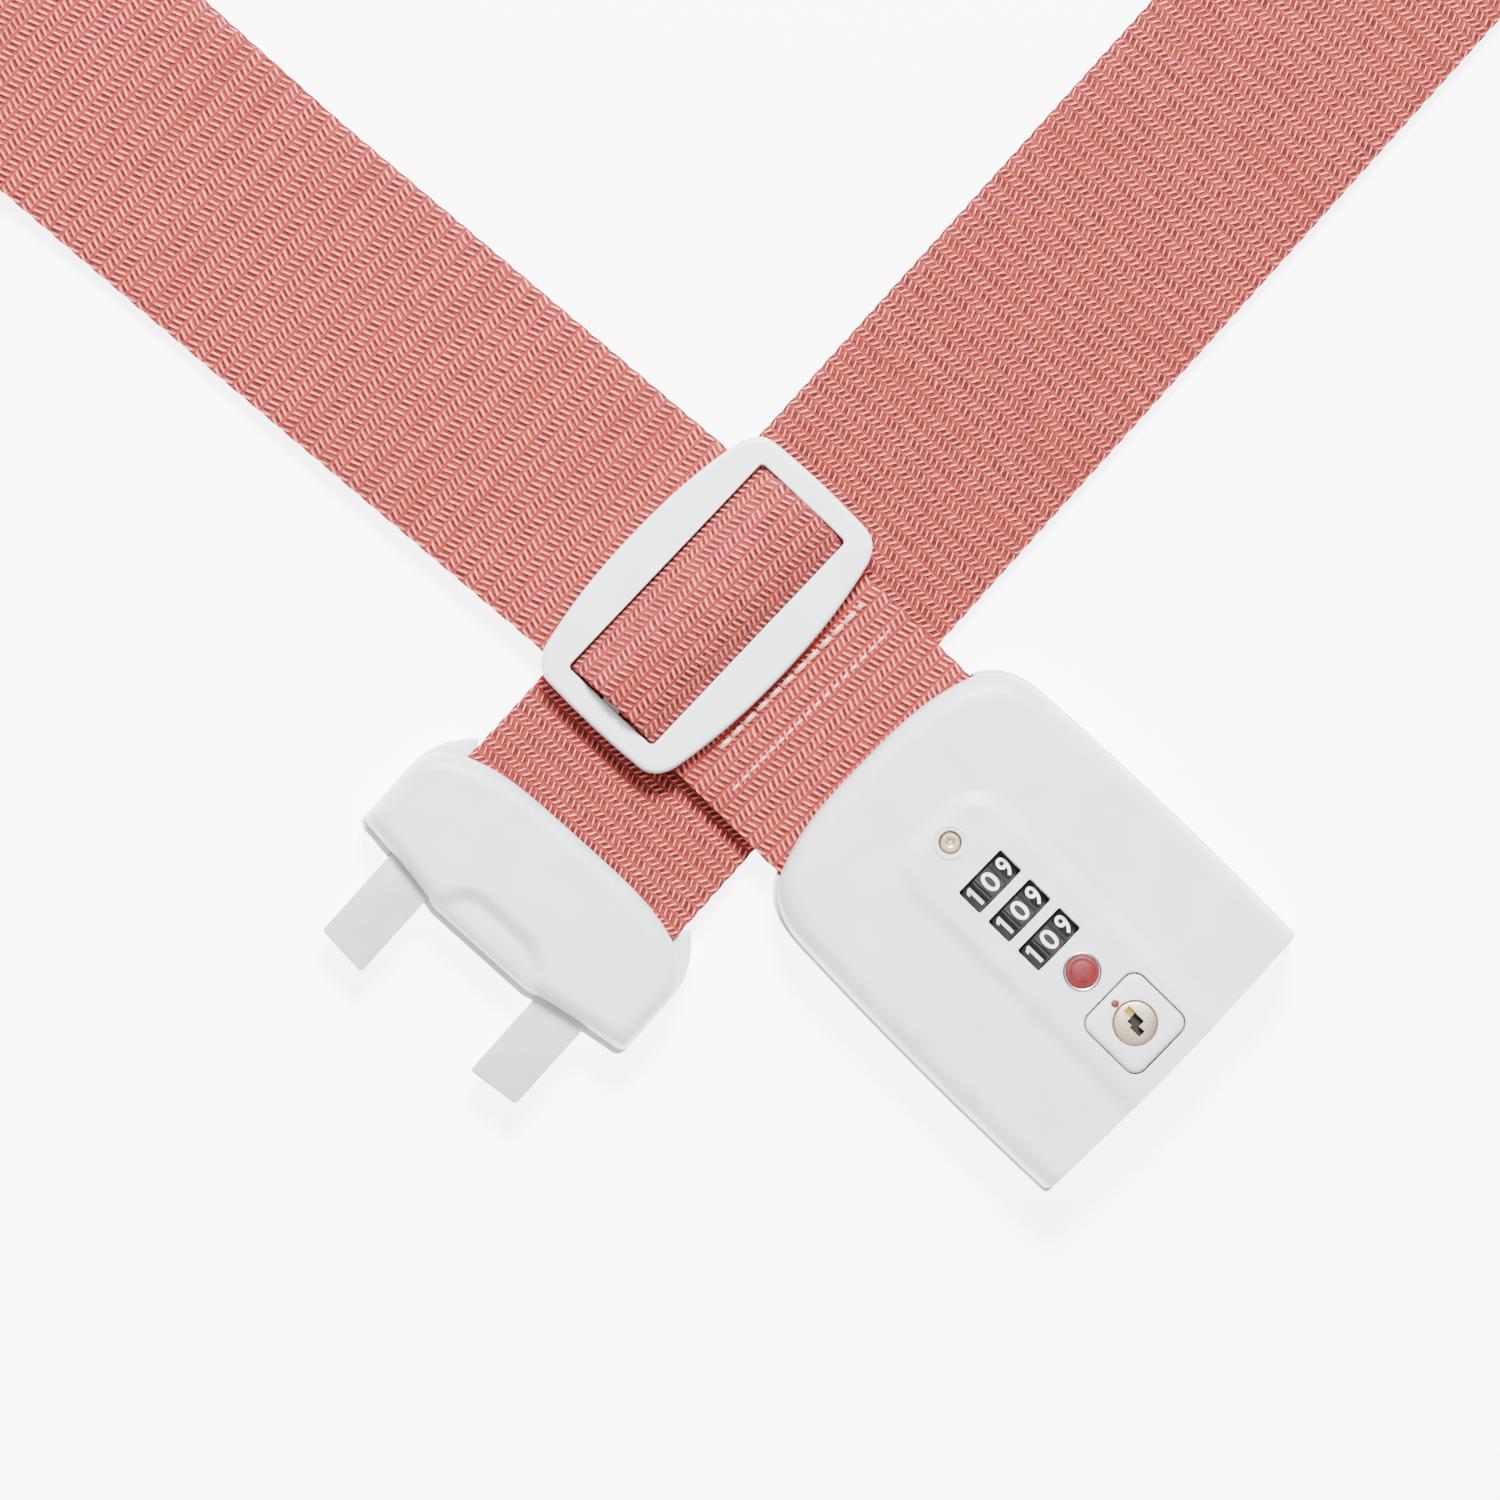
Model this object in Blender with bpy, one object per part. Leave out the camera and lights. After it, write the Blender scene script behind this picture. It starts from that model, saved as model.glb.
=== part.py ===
"""Luggage strap with a three-dial lock buckle, lying flat on a table.

One length of 50 mm webbing starts at the bar of the lock housing, runs under a
sliding adjuster, goes round a large folded loop, turns back at the bar of the
male buckle and ends sewn to the adjuster's centre bar. The frame's origin is
the middle of the lock housing's flat underside, +X points out of the housing's
mouth and +Z up. Lengths are in metres.
"""

import math

import bmesh
import bpy
import numpy as np

MM = 0.001
GAP = 0.3 * MM

# Webbing
WEB_WIDTH = 50.0 * MM
WEB_THICK = 1.3 * MM
WEB_SLOPE = 0.0336
LOCK_TAIL = 8.2 * MM
MALE_BEND_AT = 23.5 * MM
MALE_RISE = 2.0 * MM
MALE_RISE_LENGTH = 11.0 * MM
RAMP_FOOT_BEHIND_LOCK = 149.2 * MM
FOLD_DROP_START = 76.0 * MM
FOLD_DROP_LENGTH = 60.0 * MM
UPPER_RUN = 255.9 * MM
CROSS_RUN = 310.2 * MM
FOLD_SHIFT = 1.6 * MM

# Lock housing
LOCK_LENGTH = 81.6 * MM
LOCK_WIDTH = 67.6 * MM
LOCK_HEIGHT = 15.6 * MM
LOCK_SEAM = 7.75 * MM
LOCK_WALL = 2.0 * MM
LOCK_FLOOR = 1.6 * MM
LOCK_EDGE_ROUND = 3.4 * MM
LOCK_REAR_BOW = 3.2 * MM
PLATEAU_WIDTH = 25.2 * MM
PLATEAU_LENGTH = 63.5 * MM
PLATEAU_HEIGHT = 1.0 * MM
PLATEAU_EDGE = 0.9 * MM
PLATEAU_CORNER = 6.0 * MM
LOCK_BAR_RADIUS = 1.5 * MM
LOCK_BAR_AT = 10.5 * MM
LOCK_BAR_IN_WALL = 6.8 * MM
BAR_POST_THICK = 1.2 * MM
LOCK_BAR_HEIGHT = 6.2 * MM
LOCK_SLOT_BOTTOM = 2.6 * MM
LOCK_SLOT_TOP = 10.2 * MM
MOUTH_SCREWS_AT = 6.8 * MM
MOUTH_SCREWS_SIDE = 28.2 * MM
REAR_SCREWS_AT = 21.8 * MM
REAR_SCREWS_SIDE = 27.0 * MM

# Dials
DIAL_RADIUS = 6.9 * MM
DIAL_WIDTH = 5.0 * MM
DIAL_PITCH = 7.6 * MM
DIAL_MIDDLE_X = -0.4 * MM
DIAL_BORE = 2.8 * MM
DIAL_PROUD = 0.3 * MM
DIAL_WINDOW_LENGTH = 11.2 * MM
DIAL_WINDOW_PLAY = 0.3 * MM
SLEEVE_RADIUS = 2.5 * MM
SLEEVE_FLANGE = 3.3 * MM
SLEEVE_FLANGE_THICK = 1.2 * MM
FLANGE_PLAY = 0.22 * MM
SHAFT_RADIUS = 1.5 * MM
RIB_THICK = 1.4 * MM

# Reset pin, release button and key cylinder
PIN_X = -18.3 * MM
PIN_RADIUS = 1.9 * MM
BUTTON_X = 29.3 * MM
BUTTON_SIDE = 14.3 * MM
BUTTON_CORNER = 2.4 * MM
BUTTON_PROUD = 0.4 * MM
KEY_RADIUS = 4.1 * MM
KEY_LENGTH = 10.0 * MM
CAM_THICK = 1.2 * MM
LATCH_THICK = 1.2 * MM
LATCH_LENGTH = 14.0 * MM
LATCH_TOOTH = 1.9 * MM
LATCH_TOOTH_X = 31.5 * MM
BADGE_X = 15.7 * MM
BADGE_RADIUS = 3.2 * MM

# Male buckle
MALE_BEHIND_LOCK = 26.3 * MM
MALE_ASIDE = -60.6 * MM
MALE_TURN = math.radians(272.4)
MALE_DEPTH = 27.7 * MM
MALE_WIDTH = 64.8 * MM
MALE_HEIGHT = 12.4 * MM
MALE_SEAM = 5.9 * MM
MALE_FLOOR = 1.5 * MM
MALE_WALL = 1.8 * MM
MALE_CEILING = 9.2 * MM
MALE_LIP = 1.1 * MM
MALE_BAR_AT = 6.2 * MM
MALE_BAR_HALF = WEB_WIDTH / 2 + 1.0 * MM
MALE_BAR_RADIUS = 1.5 * MM
MALE_BAR_HEIGHT = 4.9 * MM
MALE_SLOT_TOP = 8.4 * MM
MALE_EAR = 2.0 * MM
RECESS_DEPTH = 1.4 * MM
MALE_SCREW_PLACE = (4.5 * MM, 28.0 * MM)
PRONG_SPACING = 37.6 * MM
PRONG_WIDTH = 10.5 * MM
PRONG_THICK = 3.6 * MM
PRONG_REACH = 31.4 * MM
PRONG_MIDDLE_Z = 6.0 * MM
PRONG_PLAY = 0.4 * MM
PRONG_SLOT_MIDDLE_Z = 8.0 * MM
CATCH_DEPTH = 1.3 * MM

# Sliding adjuster
SLIDER_BEHIND_LOCK = 40.3 * MM
SLIDER_SHIFT = 0.6 * MM
SLIDER_TURN = math.radians(0.9)
SLIDER_HALF_MIDDLE = 19.1 * MM
SLIDER_HALF_END = 15.6 * MM
SLIDER_HALF_LENGTH = 30.6 * MM
SLIDER_THICK = 3.0 * MM
SLIDER_WINDOW = (21.4 * MM, 52.4 * MM)
SLIDER_BAR_WIDTH = 4.0 * MM
SLIDER_BAR_THICK = 1.6 * MM
HUMP_RISE = 5.0 * MM

# Screws
SCREW_RADIUS = 1.1 * MM
SCREW_HEAD_RADIUS = 2.1 * MM
SCREW_HEAD_THICK = 1.2 * MM
BOSS_RADIUS = 2.8 * MM

# Dimensions worked out from those above
PLATEAU_TOP = LOCK_HEIGHT + PLATEAU_HEIGHT
DIAL_AXIS_Z = PLATEAU_TOP + DIAL_PROUD - DIAL_RADIUS
SLOPE_ANGLE = math.atan(WEB_SLOPE)
STACK = WEB_THICK + GAP
REAR_X = -LOCK_LENGTH / 2
LOCK_BAR_HALF = LOCK_WIDTH / 2 - LOCK_BAR_IN_WALL
LOCK_BEND_AT = LOCK_TAIL - REAR_X
RAMP_FOOT_AT = RAMP_FOOT_BEHIND_LOCK - REAR_X
MALE_PLACE = (REAR_X - MALE_BEHIND_LOCK, MALE_ASIDE)
SLIDER_AT = SLIDER_BEHIND_LOCK - REAR_X
BEND_START = SLIDER_AT - SLIDER_HALF_MIDDLE
BEND_END = SLIDER_AT + SLIDER_HALF_MIDDLE - 0.2 * MM
BEND_ANGLE = math.radians(4.0)
MALE_HEADING = MALE_TURN - math.pi
PLATE_TOP = PRONG_SLOT_MIDDLE_Z - PRONG_THICK / 2 - PRONG_PLAY - 0.8 * MM
SEAM_HALF_GAP = GAP / 2

GREY = "C9CCCF"
LIGHT_GREY = "DDE0E3"
STEEL = "B8B6B0"
ROSE = "CE8078"
BLACK = "141414"

created_materials = {}


def clear_scene():
    for thing in list(bpy.data.objects):
        bpy.data.objects.remove(thing)


def linear(hex_colour):
    """The linear RGBA of an sRGB hex colour."""
    values = [int(hex_colour[i : i + 2], 16) / 255 for i in (0, 2, 4)]
    return [v / 12.92 if v <= 0.04045 else ((v + 0.055) / 1.055) ** 2.4 for v in values] + [1.0]


def material(name, hex_colour, roughness, metallic=0.0):
    if name not in created_materials:
        made = bpy.data.materials.new(name)
        made.use_nodes = True
        shader = made.node_tree.nodes["Principled BSDF"]
        shader.inputs["Base Color"].default_value = linear(hex_colour)
        shader.inputs["Roughness"].default_value = roughness
        shader.inputs["Metallic"].default_value = metallic
        created_materials[name] = made
    return created_materials[name]


def housing_plastic():
    return material("housing_plastic", GREY, 0.45)


def slider_plastic():
    return material("slider_plastic", LIGHT_GREY, 0.45)


def webbing():
    return material("webbing", ROSE, 0.8)


def steel():
    return material("steel", STEEL, 0.3, 1.0)


def empty(name, place=(0, 0, 0), turn=(0, 0, 0), parent=None):
    """A frame for the pieces of one body, put where its joint's axis is."""
    made = bpy.data.objects.new(name, None)
    bpy.context.collection.objects.link(made)
    made.location = place
    made.rotation_euler = turn
    made.parent = parent
    return made


def finish(bm, name, finish_material=None, parent=None, place=(0, 0, 0), smooth=False):
    """Turns a bmesh into a named object with its faces pointing out."""
    bmesh.ops.recalc_face_normals(bm, faces=bm.faces)
    mesh = bpy.data.meshes.new(name)
    bm.to_mesh(mesh)
    bm.free()
    made = bpy.data.objects.new(name, mesh)
    bpy.context.collection.objects.link(made)
    made.location = place
    made.parent = parent
    if finish_material:
        mesh.materials.append(finish_material)
    if smooth:
        mesh.shade_smooth()
        mesh.set_sharp_from_angle(angle=math.radians(35))
    return made


def loft(rings, name, finish_material=None, parent=None, place=(0, 0, 0), smooth=True):
    """A solid through rings of the same number of points, closed at both ends."""
    bm = bmesh.new()
    rows = [[bm.verts.new(point) for point in ring] for ring in rings]
    count = len(rows[0])
    for low, high in zip(rows, rows[1:]):
        for i in range(count):
            j = (i + 1) % count
            bm.faces.new((low[i], low[j], high[j], high[i]))
    if smooth:
        bmesh.ops.triangulate(bm, faces=bm.faces)
    bm.faces.new(rows[0])
    bm.faces.new(rows[-1])
    return finish(bm, name, finish_material, parent, place, smooth)


def at_height(outline, z):
    return [(x, y, z) for x, y in outline]


def prism(outline, bottom, top, name, finish_material=None, parent=None, place=(0, 0, 0)):
    rings = [at_height(outline, bottom), at_height(outline, top)]
    return loft(rings, name, finish_material, parent, place, smooth=False)


def block(low, high, name, finish_material=None, parent=None):
    """A box from its lowest to its highest corner."""
    outline = [(low[0], low[1]), (high[0], low[1]), (high[0], high[1]), (low[0], high[1])]
    return prism(outline, low[2], high[2], name, finish_material, parent)


def circle(radius, steps=24, centre=(0, 0)):
    turns = [2 * math.pi * i / steps for i in range(steps)]
    return [(centre[0] + radius * math.cos(a), centre[1] + radius * math.sin(a)) for a in turns]


def rounded_rectangle(length, width, radius, centre=(0, 0), steps=5):
    """The outline of a rectangle whose corners are arcs."""
    points = []
    for index, (sx, sy) in enumerate(((1, 1), (-1, 1), (-1, -1), (1, -1))):
        cx = centre[0] + sx * (length / 2 - radius)
        cy = centre[1] + sy * (width / 2 - radius)
        for i in range(steps + 1):
            a = math.pi / 2 * (index + i / steps)
            points.append((cx + radius * math.cos(a), cy + radius * math.sin(a)))
    return points


def turned(profile, name, finish_material, parent=None, place=(0, 0, 0), axis="Z", steps=24):
    """A solid of revolution. The profile is a closed loop of (radius, height) points."""
    rings = []
    for i in range(steps):
        a = 2 * math.pi * i / steps
        c, s = math.cos(a), math.sin(a)
        if axis == "Z":
            rings.append([(r * c, r * s, h) for r, h in profile])
        elif axis == "X":
            rings.append([(h, r * c, r * s) for r, h in profile])
        else:
            rings.append([(r * s, h, r * c) for r, h in profile])
    bm = bmesh.new()
    rows = [[bm.verts.new(point) for point in ring] for ring in rings]
    for i, row in enumerate(rows):
        after = rows[(i + 1) % steps]
        for k in range(len(row)):
            j = (k + 1) % len(row)
            bm.faces.new((row[k], row[j], after[j], after[k]))
    bmesh.ops.remove_doubles(bm, verts=bm.verts, dist=1e-7)
    return finish(bm, name, finish_material, parent, place, smooth=True)


def tube_profile(inner, outer, low, high, chamfer=0.0):
    return [
        (inner, low),
        (outer - chamfer, low),
        (outer, low + chamfer),
        (outer, high - chamfer),
        (outer - chamfer, high),
        (inner, high),
    ] if chamfer else [(inner, low), (outer, low), (outer, high), (inner, high)]


def rod(radius, low, high, name, finish_material=None, parent=None, place=(0, 0, 0), axis="Z",
        steps=24):
    """A solid round bar along an axis."""
    order = {"Z": lambda x, y, h: (x, y, h), "X": lambda x, y, h: (h, x, y), "Y": lambda x, y, h: (y, h, x)}
    rings = [[order[axis](x, y, h) for x, y in circle(radius, steps)] for h in (low, high)]
    return loft(rings, name, finish_material, parent, place)


def change(target, tool, operation):
    """Adds a live Boolean with a tool that is left out of the model."""
    tool.hide_render = True
    tool.display_type = "WIRE"
    tool.parent = target.parent if tool.parent is None else tool.parent
    modifier = target.modifiers.new(tool.name, "BOOLEAN")
    modifier.operation = operation
    modifier.object = tool
    modifier.solver = "EXACT"


def cut(target, *tools):
    for tool in tools:
        change(target, tool, "DIFFERENCE")


def add(target, *tools):
    for tool in tools:
        change(target, tool, "UNION")


def coil(name, radius, wire, low, high, turns, parent, place, axis="Z"):
    """A compression spring of round wire, as a curve with filled ends."""
    data = bpy.data.curves.new(name, "CURVE")
    data.dimensions = "3D"
    data.bevel_depth = wire / 2
    data.bevel_resolution = 1
    data.use_fill_caps = True
    data.resolution_u = 1
    steps = int(turns * 12)
    line = data.splines.new("POLY")
    line.points.add(steps)
    for i in range(steps + 1):
        a = 2 * math.pi * turns * i / steps
        h = low + wire / 2 + (high - low - wire) * i / steps
        x, y = radius * math.cos(a), radius * math.sin(a)
        place_of = (x, y, h) if axis == "Z" else (h, x, y)
        line.points[i].co = (*place_of, 1)
    data.materials.append(steel())
    made = bpy.data.objects.new(name, data)
    bpy.context.collection.objects.link(made)
    made.location = place
    made.parent = parent
    return made


def bezier(a, control, b, steps):
    """Points of a quadratic curve, without its last one."""
    points = []
    for i in range(steps):
        t = i / steps
        points.append(tuple(
            (1 - t) ** 2 * a[k] + 2 * t * (1 - t) * control[k] + t * t * b[k] for k in (0, 1)
        ))
    return points


def mirrored(half):
    """A closed outline from its half on +Y, which starts and ends on the X axis."""
    return half + [(x, -y) for x, y in reversed(half[1:-1])]


# ---------------------------------------------------------------- lock housing


def lock_half_width(x, inset):
    """The side of the housing bows out a little towards the mouth."""
    return LOCK_WIDTH / 2 - inset - 0.6 * (x - 17 * MM) ** 2


def lock_outline(inset, mouth_inset=0.0):
    """The housing from above: bowed rear edge, large rear corners, square mouth."""
    rear = REAR_X + inset
    mouth = LOCK_LENGTH / 2 - mouth_inset
    shoulder = LOCK_WIDTH / 2 - 8.8 * MM - inset * 0.8
    half = []
    for i in range(6):
        y = shoulder * i / 6
        half.append((rear + LOCK_REAR_BOW * (y / shoulder) ** 3, y))
    start = (rear + LOCK_REAR_BOW, shoulder)
    end_x = rear + 16 * MM
    end = (end_x, lock_half_width(end_x, inset))
    control = (start[0] + 0.38 * (end[1] - start[1]) * 0.95, end[1] - 0.4 * MM)
    half += bezier(start, control, end, 8)
    for i in range(5):
        x = end_x + (mouth - 0.9 * MM - end_x) * i / 4
        half.append((x, lock_half_width(x, inset)))
    side = lock_half_width(mouth, inset)
    half.append((mouth - 0.7 * MM, side - 0.9 * MM))
    half.append((mouth, 0.0))
    return mirrored(half)


def lock_shell_rings(profile, mouth_inset=0.0):
    """One ring for each (height, inset) of a wall's profile."""
    return [at_height(lock_outline(inset, mouth_inset), z) for z, inset in profile]


def edge_arc(low, high, inset, radius, steps=5):
    """(height, inset) along a quarter round that ends flat at `high`."""
    points = []
    for i in range(steps + 1):
        a = math.pi / 2 * i / steps
        height = low + (high - low) * math.sin(a)
        points.append((height, inset + radius * (1 - math.cos(a))))
    return points


def prong_slots(name, parent):
    """The two channels that the prongs enter, through the mouth's wall."""
    tools = []
    half_height = PRONG_THICK / 2 + PRONG_PLAY
    for side in (-1, 1):
        middle = side * PRONG_SPACING / 2
        half_width = PRONG_WIDTH / 2 + PRONG_PLAY
        tools.append(block(
            (LOCK_LENGTH / 2 - 6 * MM, middle - half_width, PRONG_SLOT_MIDDLE_Z - half_height),
            (LOCK_LENGTH / 2 + 2 * MM, middle + half_width, PRONG_SLOT_MIDDLE_Z + half_height),
            f"{name}_{'right' if side < 0 else 'left'}",
            parent=parent,
        ))
    return tools


def webbing_slot(name, parent):
    return block(
        (REAR_X - 2 * MM, -WEB_WIDTH / 2 - 1.0 * MM, LOCK_SLOT_BOTTOM),
        (REAR_X + 9.0 * MM, WEB_WIDTH / 2 + 1.0 * MM, LOCK_SLOT_TOP),
        name,
        parent=parent,
    )


def screw_places():
    """Two screws behind the mouth and two ahead of the webbing's bar."""
    mouth = (LOCK_LENGTH / 2 - MOUTH_SCREWS_AT, MOUTH_SCREWS_SIDE)
    rear = (REAR_X + REAR_SCREWS_AT, REAR_SCREWS_SIDE)
    return [(x, side * y) for x, y in (mouth, rear) for side in (-1, 1)]


def plateau_outline(inset):
    """The raised middle of the top: rounded behind, square at the mouth."""
    mouth = LOCK_LENGTH / 2
    start = mouth - PLATEAU_LENGTH + inset
    side = PLATEAU_WIDTH / 2 - inset
    radius = PLATEAU_CORNER - inset
    half = [(start, 0.0)]
    for i in range(7):
        a = math.pi / 2 * (1 - i / 6)
        half.append((start + radius * (1 - math.sin(a)), side - radius * (1 - math.cos(a))))
    half += [(mouth, side), (mouth, 0.0)]
    return mirrored(half)


def lock_top_cover(parent):
    low = LOCK_SEAM + SEAM_HALF_GAP
    outer = [(low, 0.5 * MM), (LOCK_HEIGHT - LOCK_EDGE_ROUND, 0.8 * MM)]
    outer += edge_arc(LOCK_HEIGHT - LOCK_EDGE_ROUND, LOCK_HEIGHT, 0.8 * MM, LOCK_EDGE_ROUND)[1:]
    cover = loft(lock_shell_rings(outer), "lock_top_cover", housing_plastic(), parent)
    foot = at_height(plateau_outline(0.0), LOCK_HEIGHT - 1.0 * MM)
    edge = at_height(plateau_outline(0.0), LOCK_HEIGHT + 0.1 * MM)
    raised = loft([foot, edge, at_height(plateau_outline(PLATEAU_EDGE), PLATEAU_TOP)], "plateau_tool")
    add(cover, raised)
    wall = LOCK_WALL + 0.8 * MM
    inner = [
        (low - 1 * MM, wall),
        (LOCK_HEIGHT - LOCK_EDGE_ROUND, wall),
        (LOCK_HEIGHT - LOCK_WALL, wall + LOCK_EDGE_ROUND * 0.8),
    ]
    cut(cover, loft(lock_shell_rings(inner, LOCK_WALL), "top_cavity_tool"))
    for index, place in enumerate(screw_places()):
        boss = prism(
            circle(BOSS_RADIUS, 16, place), low, LOCK_HEIGHT - LOCK_WALL + 0.5 * MM,
            f"top_boss_tool_{index + 1}",
        )
        add(cover, boss)
    for index, place in enumerate(screw_places()):
        cut(cover, prism(
            circle(SCREW_RADIUS + GAP, 12, place), low - 1 * MM, LOCK_HEIGHT - LOCK_WALL - 0.5 * MM,
            f"top_pilot_tool_{index + 1}",
        ))
    for index in range(3):
        cut(cover, prism(
            rounded_rectangle(
                DIAL_WIDTH + 2 * DIAL_WINDOW_PLAY, DIAL_WINDOW_LENGTH, 0.4 * MM,
                centre=(dial_x(index), 0), steps=2,
            ),
            low, PLATEAU_TOP + 2 * MM, f"dial_window_tool_{index + 1}",
        ))
        half = DIAL_WIDTH / 2 + DIAL_WINDOW_PLAY
        cut(cover, rod(
            DIAL_RADIUS + GAP, dial_x(index) - half, dial_x(index) + half,
            f"dial_groove_tool_{index + 1}", place=(0, 0, DIAL_AXIS_Z), axis="X", steps=40,
        ))
    opening = BUTTON_SIDE + 2 * GAP
    cut(
        cover,
        rod(SLEEVE_FLANGE + FLANGE_PLAY, *rib_places(), "shaft_relief_tool",
            place=(0, 0, DIAL_AXIS_Z), axis="X"),
        prism(
            rounded_rectangle(opening, opening, BUTTON_CORNER + GAP, centre=(BUTTON_X, 0)),
            low, PLATEAU_TOP + 2 * MM, "button_opening_tool",
        ),
        prism(
            circle(PIN_RADIUS + GAP, 20, (PIN_X, 0)), low, PLATEAU_TOP + 2 * MM, "pin_hole_tool"
        ),
        prism(
            circle(BADGE_RADIUS + GAP, 20, (BADGE_X, 0)), PLATEAU_TOP - 0.6 * MM,
            PLATEAU_TOP + 2 * MM, "badge_pocket_tool",
        ),
        webbing_slot("top_webbing_slot_tool", parent),
        *prong_slots("top_prong_slot_tool", parent),
    )
    return cover


def dial_x(index):
    return DIAL_MIDDLE_X + (index - 1) * DIAL_PITCH


def rib_places():
    """The middles of the two walls that carry the dial shaft."""
    behind = dial_x(0) - DIAL_WIDTH / 2 - 3.4 * MM
    before = dial_x(2) + DIAL_WIDTH / 2 + SLEEVE_FLANGE_THICK + 2.2 * MM
    return behind, before


def lock_bottom_cover(parent):
    top = LOCK_SEAM - SEAM_HALF_GAP
    outer = [(0, 2.0 * MM), (0.6 * MM, 1.0 * MM), (2.0 * MM, 0.3 * MM), (top, 0.0)]
    cover = loft(lock_shell_rings(outer), "lock_bottom_cover", housing_plastic(), parent)
    inner = [(LOCK_FLOOR, LOCK_WALL + 0.9 * MM), (top + 1 * MM, LOCK_WALL)]
    cut(cover, loft(lock_shell_rings(inner, LOCK_WALL), "bottom_cavity_tool"))
    for index, place in enumerate(screw_places()):
        add(cover, prism(
            circle(BOSS_RADIUS, 16, place), LOCK_FLOOR - 0.5 * MM, top, f"bottom_boss_tool_{index + 1}"
        ))
    for index, x in enumerate(rib_places()):
        add(cover, block(
            (x - RIB_THICK / 2, -5 * MM, LOCK_FLOOR - 0.5 * MM),
            (x + RIB_THICK / 2, 5 * MM, DIAL_AXIS_Z + 0.4 * MM),
            f"shaft_rib_tool_{index + 1}",
        ))
    post_x = REAR_X + LOCK_BAR_AT
    for side in (-1, 1):
        outer_y = LOCK_BAR_HALF + 0.2 * MM
        low_y, high_y = sorted((side * (outer_y - BAR_POST_THICK), side * outer_y))
        add(cover, block(
            (post_x - 2.0 * MM, low_y, LOCK_FLOOR - 0.5 * MM),
            (post_x + 2.0 * MM, high_y, LOCK_BAR_HEIGHT - LOCK_BAR_RADIUS - GAP),
            f"bar_post_tool_{'right' if side < 0 else 'left'}",
        ))
    add(cover, prism(
        circle(3.0 * MM, 16, (PIN_X, 0)), LOCK_FLOOR - 0.5 * MM, top, "pin_post_tool"
    ))
    cut(cover, prism(
        circle(1.2 * MM + GAP, 16, (PIN_X, 0)), LOCK_FLOOR + 1 * MM, top + 1 * MM, "pin_bore_tool"
    ))
    cut(cover, rod(
        SHAFT_RADIUS + GAP, -20 * MM, 20 * MM, "shaft_groove_tool", place=(0, 0, DIAL_AXIS_Z), axis="X"
    ))
    for index, place in enumerate(screw_places()):
        cut(
            cover,
            prism(circle(SCREW_RADIUS + GAP, 12, place), -1 * MM, top + 1 * MM,
                  f"screw_hole_tool_{index + 1}"),
            prism(circle(SCREW_HEAD_RADIUS + GAP, 16, place), -1 * MM, SCREW_HEAD_THICK + 2 * GAP,
                  f"screw_sink_tool_{index + 1}"),
        )
    cut(
        cover,
        webbing_slot("bottom_webbing_slot_tool", parent),
        *prong_slots("bottom_prong_slot_tool", parent),
    )
    return cover


def screw(name, place, seat, length, parent):
    """A pan-headed screw driven from below, its head at the bottom."""
    low = seat
    profile = [
        (0, low), (SCREW_HEAD_RADIUS, low), (SCREW_HEAD_RADIUS, low + SCREW_HEAD_THICK),
        (SCREW_RADIUS, low + SCREW_HEAD_THICK), (SCREW_RADIUS, low + length), (0, low + length),
    ]
    return turned(profile, name, steel(), parent, (*place, 0), steps=16)


def dials(parent):
    for index in range(3):
        x = dial_x(index)
        axis = empty(f"dial_axis_{index + 1}", (x, 0, DIAL_AXIS_Z), parent=parent)
        half = DIAL_WIDTH / 2
        turned(
            tube_profile(DIAL_BORE, DIAL_RADIUS, -half, half, 0.3 * MM),
            f"dial_wheel_{index + 1}", material("dial_plastic", BLACK, 0.35), axis,
            axis="X", steps=40,
        )
        sleeve = [
            (SHAFT_RADIUS + GAP, -half), (SLEEVE_RADIUS, -half), (SLEEVE_RADIUS, half + GAP),
            (SLEEVE_FLANGE, half + GAP), (SLEEVE_FLANGE, half + GAP + SLEEVE_FLANGE_THICK),
            (SHAFT_RADIUS + GAP, half + GAP + SLEEVE_FLANGE_THICK),
        ]
        turned(sleeve, f"dial_sleeve_{index + 1}", material("brass", "C9A24B", 0.3, 1.0), axis,
               axis="X", steps=24)
    behind, before = rib_places()
    rod(SHAFT_RADIUS, behind - 1.6 * MM, before + 1.6 * MM, "dial_shaft", steel(), parent,
        (0, 0, DIAL_AXIS_Z), axis="X", steps=16)
    coil("dial_spring", 2.3 * MM, 0.5 * MM, behind + RIB_THICK / 2 + GAP,
         dial_x(0) - DIAL_WIDTH / 2 - GAP, 2.5, parent, (0, 0, DIAL_AXIS_Z), axis="X")


def locking_fence(parent):
    """A comb beside the dials whose teeth stand in the gaps between them."""
    side = DIAL_RADIUS + 1.4 * MM
    behind, before = rib_places()
    back = block(
        (behind + 1.5 * MM, side, DIAL_AXIS_Z - 3.5 * MM),
        (before - 1.5 * MM, side + 2.4 * MM, DIAL_AXIS_Z + 1.5 * MM),
        "locking_fence", material("zinc", "9A9C9E", 0.4, 1.0), parent,
    )
    for index in range(3):
        x = dial_x(index) + DIAL_WIDTH / 2 + SLEEVE_FLANGE_THICK / 2 + GAP
        add(back, block(
            (x - 0.5 * MM, SLEEVE_FLANGE + 0.5 * MM, DIAL_AXIS_Z - 1.5 * MM),
            (x + 0.5 * MM, side + 0.5 * MM, DIAL_AXIS_Z + 0.8 * MM),
            f"fence_tooth_tool_{index + 1}",
        ))
    return back


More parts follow.
